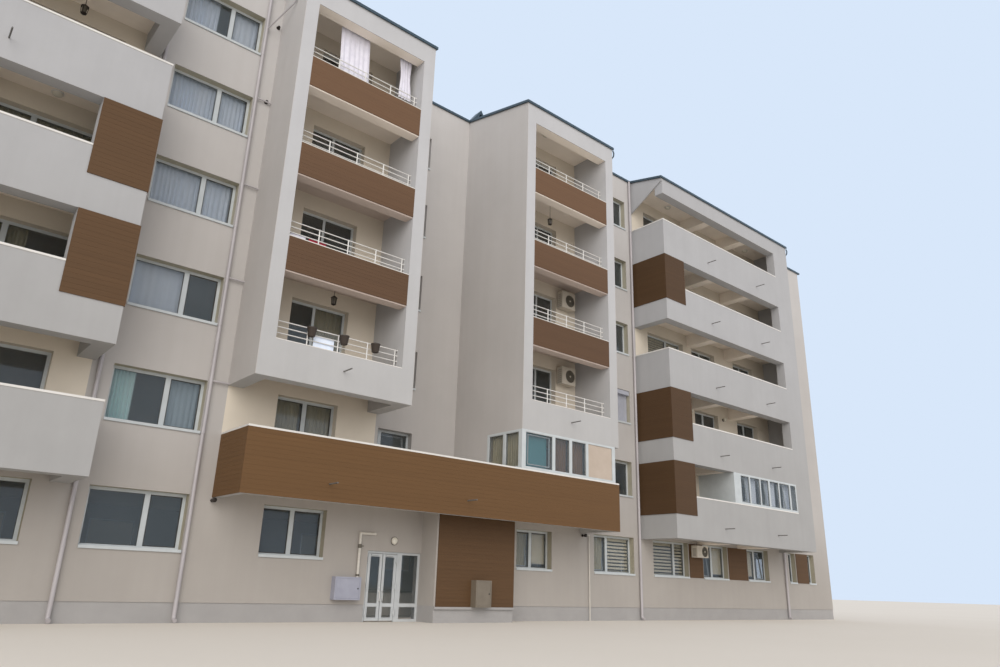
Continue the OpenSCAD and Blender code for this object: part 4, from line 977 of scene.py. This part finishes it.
class BLOCK_OT_curtains(bpy.types.Operator):
    """Hangs the curtains with their rails behind the windows, in the glazed bays and in the top left loggia"""
    bl_idname = "block.curtains"
    bl_label = "Curtains"

    def execute(self, context):
        y, rails = 0.41, []
        for name, x0, x1, n, folds, share, kind in CURTAINS:
            z = level(n) + HEAD + 0.08
            rails.append(rod((x0 - 0.06, y, z), (x1 + 0.06, y, z), 0.014, 10, 0.004))
            for x in (x0 + 0.1, x1 - 0.1):
                rails.append(block((x - 0.012, 0.35, z - 0.02), (x + 0.012, y + 0.01, z + 0.004), 0.003))
        finish("curtain_rails", rails, "railing")
        for name, x0, x1, n, folds, share, kind in CURTAINS:
            z = level(n) + HEAD + 0.066
            depth = sizes().fold_depth * share
            hang("curtain_" + name, x0, x1, z - CURTAIN_DROP, z, y, folds, depth, kind, "curtain_rails")
        y, z = -1.3, ceiling(5) - 0.05
        rail = [rod((-LOGGIA_OPEN[1], y, z), (-LOGGIA_OPEN[0], y, z), 0.012, 10),
                turned((-2.632, y, z), [(0.03, 0.0), (0.03, 0.008), (0.016, 0.014)], 16, "-X")]
        finish("loggia_curtain_rail", rail, "railing")
        for name, x0, x1, foot, folds, depth, *shape in (("left", -5.56, -4.5, 16.4, 6, 0.024, 0.12, 0.0),
                                                         ("right", -3.32, -2.82, 16.6, 4, 0.02, 0.08, 0.25)):
            hang("loggia_curtain_" + name, x0, x1, foot, z - 0.012, y, folds, depth, "cotton",
                 "loggia_curtain_rail", *shape)
        for name, x0, x1, z0, z1, kind in (("", -5.36, -4.72, 7.16, 7.56, "voile"),
                                           ("_red", -5.85, -5.3, 10.13, 10.37, "red_cotton"),
                                           ("_white", -6.42, -5.95, 10.13, 10.37, "cotton")):
            hang("railing_cloth" + name, x0, x1, z0, z1, -1.432, 3, 0.006, kind, "left_loggia_railings")
        z = GARDEN_Z[1] + 0.03
        rails = [rod((2.36, -1.6, z), end, 0.01, 10) for end in ((5.36, -1.6, z), (2.36, -0.06, z))]
        rails += [block((x - 0.01, -1.61, z), (x + 0.01, -1.59, z + 0.04), 0.002) for x in (2.6, 3.9, 5.2)]
        finish("garden_curtain_rail", rails, "railing")
        rails = [rod((15.0, -1.55, z), (19.66, -1.55, z), 0.01, 10)]
        rails += [block((x - 0.01, -1.61, z - 0.01), (x + 0.01, -1.54, z + 0.01), 0.002)
                  for x in (15.7, 17.3, 19.1)]
        finish("stack_curtain_rail", rails, "railing")
        for name, x0, x1, y, folds, depth, kind, rail in BAY_SHEETS:
            piece = hang(name, x0, x1, GARDEN_HEM, z - 0.01, y, folds, depth, kind, rail)
        # The last of them hangs at the bay's side.
        piece.data.transform(GARDEN_SIDE @ MIRROR)
        piece.data.flip_normals()
        return {"FINISHED"}


def slats(x0, x1, z0, z1, y, pitch, height):
    """Slats between two heights under a head rail, with a bottom rail."""
    rows, top = int((z1 - z0) / pitch), z1 - 0.04
    foot = top - rows * pitch
    return [arrayed(block((x0, y, top - height), (x1, y + 0.004, top), 0.0015), rows, -pitch),
            block((x0 - 0.005, y - 0.01, z1 - 0.035), (x1 + 0.005, y + 0.02, z1 + 0.005), 0.004),
            block((x0, y - 0.004, foot - 0.02), (x1, y + 0.008, foot), 0.003)]


# Roller blinds, each as name, low x, high x, storey, drop, distance under the head and finish
ROLLERS = (
    ("d_ground", 4.56, 5.28, 0, 1.0, 0.1, "blind"), ("stack_ground", 15.48, 16.28, 0, 1.1, 0, "blind"),
    ("stack_outer", 18.02, 18.79, 0, 1.1, 0, "blind"), ("loggia", 3.67, 4.62, 2, 0.6, 0, "white_blind"),
)


class BLOCK_OT_blinds(bpy.types.Operator):
    """Fits the slatted and roller blinds of the ground floor and a few upper windows, and a shutter"""
    bl_idname = "block.blinds"
    bl_label = "Blinds"

    def execute(self, context):
        parts, low, high = [], level(0) + SILL + 0.07, level(0) + HEAD - 0.07
        for x0, x1 in ((11.17, 12.66), (12.78, 13.38), (8.56, 9.83)):
            parts += slats(x0, x1, low, high, 0.322, 0.13, 0.078)
        for x0, x1 in ((11.32, 12.75), (12.87, 13.78)):
            parts += slats(x0, x1, level(3) + SILL + 0.5, level(3) + HEAD - 0.07, 0.322, 0.11, 0.07)
        finish("slatted_blinds", parts, "blind")
        head = level(2) + HEAD
        parts = slats(7.58, 9.885, level(2) + SILL + 0.03, head - 0.16, 0.175, 0.05, 0.047)
        parts.append(block((7.57, 0.03, head - 0.19), (9.895, 0.22, head - 0.005), 0.006))
        finish("window_shutter", parts, "shutter")
        tubes = []
        for name, x0, x1, n, drop, down, kind in ROLLERS:
            z = level(n) + HEAD - 0.09 - down
            tubes.append(rod((x0, 0.34, z), (x1, 0.34, z), 0.02, 12, 0.003))
            tubes.append(block((x0 + 0.01, 0.322, z - drop - 0.014), (x1 - 0.01, 0.334, z - drop + 0.01), 0.003))
        finish("blind_tubes", tubes, "coping")
        for name, x0, x1, n, drop, down, kind in ROLLERS:
            z = level(n) + HEAD - 0.09 - down
            hang("roller_" + name, x0 + 0.012, x1 - 0.012, z - drop, z, 0.326, 1, 0.0015, kind, "blind_tubes")
        z, half = level(0) + HEAD - 0.05, REAR_W / 2 - 0.05
        tube = rod((REAR_X[0] - half, 0.36, z), (REAR_X[0] + half, 0.36, z), 0.02, 12, 0.003)
        tubes = join(along(tube, REAR_X))
        tubes.data.transform(REAR)
        finish("rear_blind_tubes", [tubes], "coping")
        for i, x in enumerate(REAR_X):
            blind = hang(f"rear_blind_{i + 1}", x - half + 0.01, x + half - 0.01, z - 1.3, z, 0.345, 1, 0.0015,
                         "blind", "rear_blind_tubes")
            blind.data.transform(REAR)
        return {"FINISHED"}


class BLOCK_OT_railings(bpy.types.Operator):
    """Adds the flanges and foot plates of the loggia railings, and the planters on one of them"""
    bl_idname = "block.railings"
    bl_label = "Railing fittings"

    def execute(self, context):
        x0, x1 = LOGGIA_OPEN
        y, base = RAIL_Y, level(2) + UPSTAND
        parts = []
        for z in (0.604, 0.434, 0.264, 0.094):
            for x in (x0 + 0.004, x1 - 0.004):
                parts.append(rod((x - 0.004, y, base + z), (x + 0.004, y, base + z), 0.034, 12, 0.002))
        for i in range(5):
            x = x0 + 0.08 + (x1 - x0 - 0.16) * i / 4
            parts.append(block((x - 0.045, y - 0.04, base + 0.006), (x + 0.045, y + 0.04, base + 0.014), 0.002))
            parts.append(turned((x, y, base + 0.6), [(0.021, 0.0), (0.023, 0.012), (0.012, 0.026)], 12))
        finish("railing_fittings", both_sides(upwards(join(parts), range(4))), "railing")
        pots = []
        for x in (-5.51, -4.5, -3.47):
            pots.append(turned((x, -1.6, 7.44), [(0.09, 0.0), (0.105, 0.02), (0.13, 0.22), (0.14, 0.23),
                                                 (0.14, 0.26), (0.125, 0.26), (0.12, 0.19), (0.02, 0.19)]))
            pots.append(block((x - 0.01, -1.50, 7.66), (x + 0.01, -1.444, 7.735), 0.003))
        finish("railing_planters", pots, "basket")
        return {"FINISHED"}


def lantern(x, y, top, drop):
    """Frame parts and glass of a six-sided lantern on a stem under a ceiling."""
    low = top - drop
    # Stem, ceiling rose, roof, base and the bars between them
    frame_parts = [rod((x, y, low + 0.3), (x, y, top), 0.008, 8),
                   turned((x, y, top - 0.05), [(0.012, 0.0), (0.03, 0.02), (0.055, 0.04), (0.055, 0.05)], 16),
                   turned((x, y, low + 0.24), [(0.105, 0.0), (0.1, 0.01), (0.05, 0.05), (0.015, 0.075)], 6),
                   turned((x, y, low), [(0.015, 0.0), (0.05, 0.02), (0.075, 0.03), (0.075, 0.045)], 6)]
    for i in range(6):
        across, deep = math.cos(math.radians(60 * i)), math.sin(math.radians(60 * i))
        frame_parts.append(rod((x + 0.07 * across, y + 0.07 * deep, low + 0.04),
                               (x + 0.09 * across, y + 0.09 * deep, low + 0.245), 0.007, 6))
    return frame_parts, turned((x, y, low + 0.045), [(0.058, 0.0), (0.066, 0.1), (0.074, 0.195)], 6)


class BLOCK_OT_lamps(bpy.types.Operator):
    """Hangs the lanterns and fits the ceiling and wall lamps, spots and flue outlets"""
    bl_idname = "block.lamps"
    bl_label = "Lamps"

    def execute(self, context):
        frames, glasses, domes, rims = [], [], [], []
        for x, y, n, drop in ((-4.6, -0.9, 2, 0.8), (4.27, -0.9, 4, 1.02), (-12.45, -0.9, 4, 0.92)):
            parts, glass = lantern(x, y, ceiling(n), drop)
            frames += parts
            glasses.append(glass)
        for x, y, n in ((12.5, -0.52, 5), (19.35, -0.38, 5), (-12.5, -0.29, 3), (3.6, -0.7, 2), (4.0, -0.9, 5)):
            z = ceiling(n)
            rims.append(turned((x, y, z - 0.03), [(0.14, 0.0), (0.15, 0.01), (0.15, 0.03)], 24))
            domes.append(turned((x, y, z - 0.1), [(0.03, 0.0), (0.08, 0.012), (0.115, 0.035), (0.13, 0.072)], 24))
        for x in (16.76, 14.15, -16.76):
            frames.append(turned((x, 0.0, 8.95), [(0.07, 0.0), (0.07, 0.015), (0.03, 0.03), (0.02, 0.08)], 16,
                                 "-Y"))
            domes.append(turned((x, -0.1, 8.87), [(0.04, 0.0), (0.07, 0.05), (0.06, 0.14), (0.02, 0.17)], 16))
        frames.append(hoop((-1.32, -0.02, 2.29), 0.112, 0.012, around=28))
        spot = [(0.045, 0.0), (0.045, 0.03), (0.02, 0.05), (0.02, 0.11), (0.055, 0.13), (0.06, 0.2), (0.05, 0.205)]
        outlet = [(0.06, 0.0), (0.06, 0.012), (0.042, 0.014), (0.042, 0.09), (0.034, 0.09), (0.03, 0.03)]
        frames += [turned(place, outline, 16, "-Y") for place, outline in
                   (((-6.99, -0.02, 2.97), spot), ((6.92, -0.02, 2.97), spot), ((-7.13, 0.0, 17.95), outlet),
                    ((-7.16, 0.0, 15.1), outlet))]
        finish("lamp_frames", frames, "iron")
        finish("lamp_rims", rims, "railing")
        finish("lantern_glass", glasses, "smoked")
        finish("lamp_domes", domes, "opal")
        return {"FINISHED"}


class BLOCK_OT_pipes(bpy.types.Operator):
    """Adds collars and feet to the rainwater pipes and the valve and joints of the gas pipe"""
    bl_idname = "block.pipes"
    bl_label = "Pipe fittings"

    def execute(self, context):
        x = DOWNPIPES[0]
        collar = turned((x, -0.08, level(0) + 0.86), [(0.051, 0.0), (0.056, 0.004), (0.056, 0.05), (0.051, 0.054)])
        parts = repeat(collar, [(x, 0, STOREY * n) for x in DOWNPIPES for n in range(TOP)])
        parts += along(tube([(x, -0.08, 0.16), (x, -0.10, 0.1), (x, -0.2, 0.06)], 0.05, 12), DOWNPIPES)
        finish("pipe_collars", parts, "pipe")
        x, y = -2.52, -0.06
        # Body, union, spindle and lever
        valve = [turned((x, y, 2.02), [(0.04, 0.0), (0.055, 0.015), (0.055, 0.1), (0.04, 0.115)], 16),
                 turned((x, y, 1.24), [(0.045, 0.0), (0.052, 0.008), (0.052, 0.05), (0.045, 0.058)], 6),
                 rod((x, y, 2.075), (x, -0.17, 2.075), 0.012, 8),
                 block((x - 0.012, -0.185, 2.06), (x + 0.06, -0.172, 2.09), 0.004)]
        finish("gas_valve", valve, "grille")
        joints = [hoop(place, 0.036, 0.009, axis, 16) for place, axis in
                  (((x, y, 1.72), "Z"), ((x, y, 2.32), "Z"), ((-2.2, y, 2.44), "X"))]
        finish("gas_joints", joints, "gas")
        return {"FINISHED"}


class BLOCK_OT_cabinets(bpy.types.Operator):
    """Adds doors, hinges and locks to the meter cabinets"""
    bl_idname = "block.cabinets"
    bl_label = "Cabinet doors"

    def execute(self, context):
        doors, locks, edge = [], [], 0.046
        for x0, x1, z0, z1, face in ((-3.3, -2.47, 0.59, 1.21, -0.22), (1.08, 1.7, 0.45, 1.24, -1.07)):
            doors.append(block((x0 + edge, face + 0.001, z0 + edge), (x1 - edge, face + 0.009, z1 - edge), 0.003))
            x, y = x0 + 0.048, face - 0.002
            doors += [rod((x, y, z - 0.04), (x, y, z + 0.04), 0.009, 10, 0.002) for z in (z0 + 0.14, z1 - 0.14)]
            locks.append(turned((x1 - 0.09, face + 0.001, (z0 + z1) / 2),
                                [(0.022, 0.0), (0.022, 0.006), (0.014, 0.01)], 16, "-Y"))
        finish("cabinet_doors", doors, "cabinet")
        finish("cabinet_locks", locks, "black")
        return {"FINISHED"}


class BLOCK_OT_coolers(bpy.types.Operator):
    """Adds fans, guards and side grilles to the cooling units"""
    bl_idname = "block.coolers"
    bl_label = "Cooling unit grilles"

    def execute(self, context):
        dark, light, face = [], [], -0.35
        for x0, x1, z0, h in ((5.52, 6.24, level(2) + 1.745, 0.68), (5.52, 6.24, level(3) + 1.875, 0.68),
                              (13.6, 14.4, level(0) + 1.725, 0.48)):
            r = min(0.25, h / 2 - 0.03)
            x, y, z = x1 - r - 0.03, face + 0.008, z0 + h / 2
            # The guard's rings and spokes, the fan's well and hub, the lid, the front's ribs and the side's slots,
            # these as dark strips of painted shade
            dark += [hoop((x, face + 0.006, z), r * i / 5.2, 0.004, around=28) for i in range(1, 6)]
            spoke = r - 0.01
            for a in (math.pi / 4 * i for i in range(8)):
                dark.append(rod((x, y, z), (x + spoke * math.cos(a), y, z + spoke * math.sin(a)), 0.004, 6))
            dark.append(turned((x, face + 0.0295, z), [(r - 0.004, 0.0), (r - 0.004, 0.004), (r * 0.3, 0.006),
                                                       (r * 0.3, 0.02)], 28, "-Y"))
            light.append(turned((x, face + 0.004, z), [(0.035, 0.0), (0.035, 0.008), (0.02, 0.012)], 16, "-Y"))
            z = z0 + h
            light.append(block((x0 - 0.006, face - 0.004, z - 0.03), (x1 + 0.006, -0.06, z + 0.004), 0.006))
            end = x1 - 2 * r - 0.06
            for z in (z0 + 0.08 + (h - 0.2) * i / 5 for i in range(6)):
                light.append(block((x0 + 0.02, face - 0.003, z - 0.006), (end, face, z + 0.006), 0.001))
            # Painted shade: the side's slots are dark strips laid on the casing.
            for z in (z0 + 0.07 + (h - 0.2) * i / 6 for i in range(7)):
                dark.append(block((x0 - 0.001, -0.3, z - 0.008), (x0 + 0.002, -0.12, z + 0.008), 0.0008))
        finish("cooler_fans", dark, "grille")
        finish("cooler_casings", light, "cooler")
        return {"FINISHED"}


class BLOCK_OT_entrance(bpy.types.Operator):
    """Adds pulls, hinge caps, beads and closers to the entrance leaves, and beads and a threshold beside them"""
    bl_idname = "block.entrance"
    bl_label = "Entrance fittings"

    def execute(self, context):
        glass_y, bead_y, top = 0.078, 0.066, 1.823
        for word, x0, hinge, x, steel in (("left", -2.128, -2.134, -1.69, "railing"),
                                          ("right", -1.622, -1.136, -1.58, "steel")):
            beads = [ring((x0 + 0.075, bead_y, z0), (x0 + 0.405, glass_y, z1), 0.012, 0.003)
                     for z0, z1 in ((0.105, 0.42), (0.5, top))]
            beads.append(block((x0 + 0.08, 0.012, top + 0.02), (x0 + 0.33, 0.06, top + 0.062), 0.008))
            beads += [hoop((hinge, 0.034, z + end), 0.0265, 0.003, "Z", 16)
                      for z in (0.26, 0.985, 1.71) for end in (0.048, -0.048)]
            finish(word + "_leaf_beads", beads, "door_pvc", word + "_door_leaf")
            rose = [(0.02, 0.0), (0.02, 0.006), (0.014, 0.01)]
            pull = [tube([(x, 0.058, 0.56), (x, 0.0, 0.58), (x, 0.0, 0.82), (x, 0.058, 0.84)], 0.012, 10),
                    turned((x, 0.061, 0.56), rose, 16, "-Y"), turned((x, 0.061, 0.84), rose, 16, "-Y"),
                    turned((x, 0.061, 0.95), [(0.017, 0.0), (0.017, 0.008), (0.01, 0.011)], 16, "-Y")]
            finish(word + "_leaf_pull", pull, steel, word + "_door_leaf")
        parts = [ring((-0.96, bead_y, z0), (-0.36, glass_y, z1), 0.014, 0.003)
                 for z0, z1 in ((0.06, 0.42), (0.5, 1.91))]
        parts.append(block((-2.13, 0.05, 0.1), (-1.14, 0.14, 0.108), 0.003))
        finish("entrance_beads", parts, "door_pvc")
        return {"FINISHED"}


class BLOCK_PT_panel(bpy.types.Panel):
    """Lists the steps of the block's finish"""
    bl_label = "Apartment Block"
    bl_idname = "BLOCK_PT_panel"
    bl_space_type = "VIEW_3D"
    bl_region_type = "UI"
    bl_category = "Block"

    def draw(self, context):
        for name in BlockColours.__annotations__:
            self.layout.prop(context.scene.block_colours, name)
        for name in BlockSizes.__annotations__:
            self.layout.prop(context.scene.block_sizes, name)
        for step in STEPS:
            self.layout.operator(step.bl_idname)


STEPS = (BLOCK_OT_stage, BLOCK_OT_shell, BLOCK_OT_boards, BLOCK_OT_roof, BLOCK_OT_copings, BLOCK_OT_sashes,
         BLOCK_OT_curtains, BLOCK_OT_blinds, BLOCK_OT_railings, BLOCK_OT_lamps, BLOCK_OT_pipes,
         BLOCK_OT_cabinets, BLOCK_OT_coolers, BLOCK_OT_entrance)
CLASSES = (BlockColours, BlockSizes) + STEPS + (BLOCK_PT_panel,)


def register():
    for cls in CLASSES:
        bpy.utils.register_class(cls)
    bpy.types.Scene.block_colours = bpy.props.PointerProperty(type=BlockColours)
    bpy.types.Scene.block_sizes = bpy.props.PointerProperty(type=BlockSizes)


def unregister():
    del bpy.types.Scene.block_sizes
    del bpy.types.Scene.block_colours
    for cls in reversed(CLASSES):
        bpy.utils.unregister_class(cls)


def main():
    """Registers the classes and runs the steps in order."""
    register()
    for step in STEPS:
        group, name = step.bl_idname.split(".")
        getattr(getattr(bpy.ops, group), name)()
    bpy.context.view_layer.update()


if __name__ == "__main__":
    main()
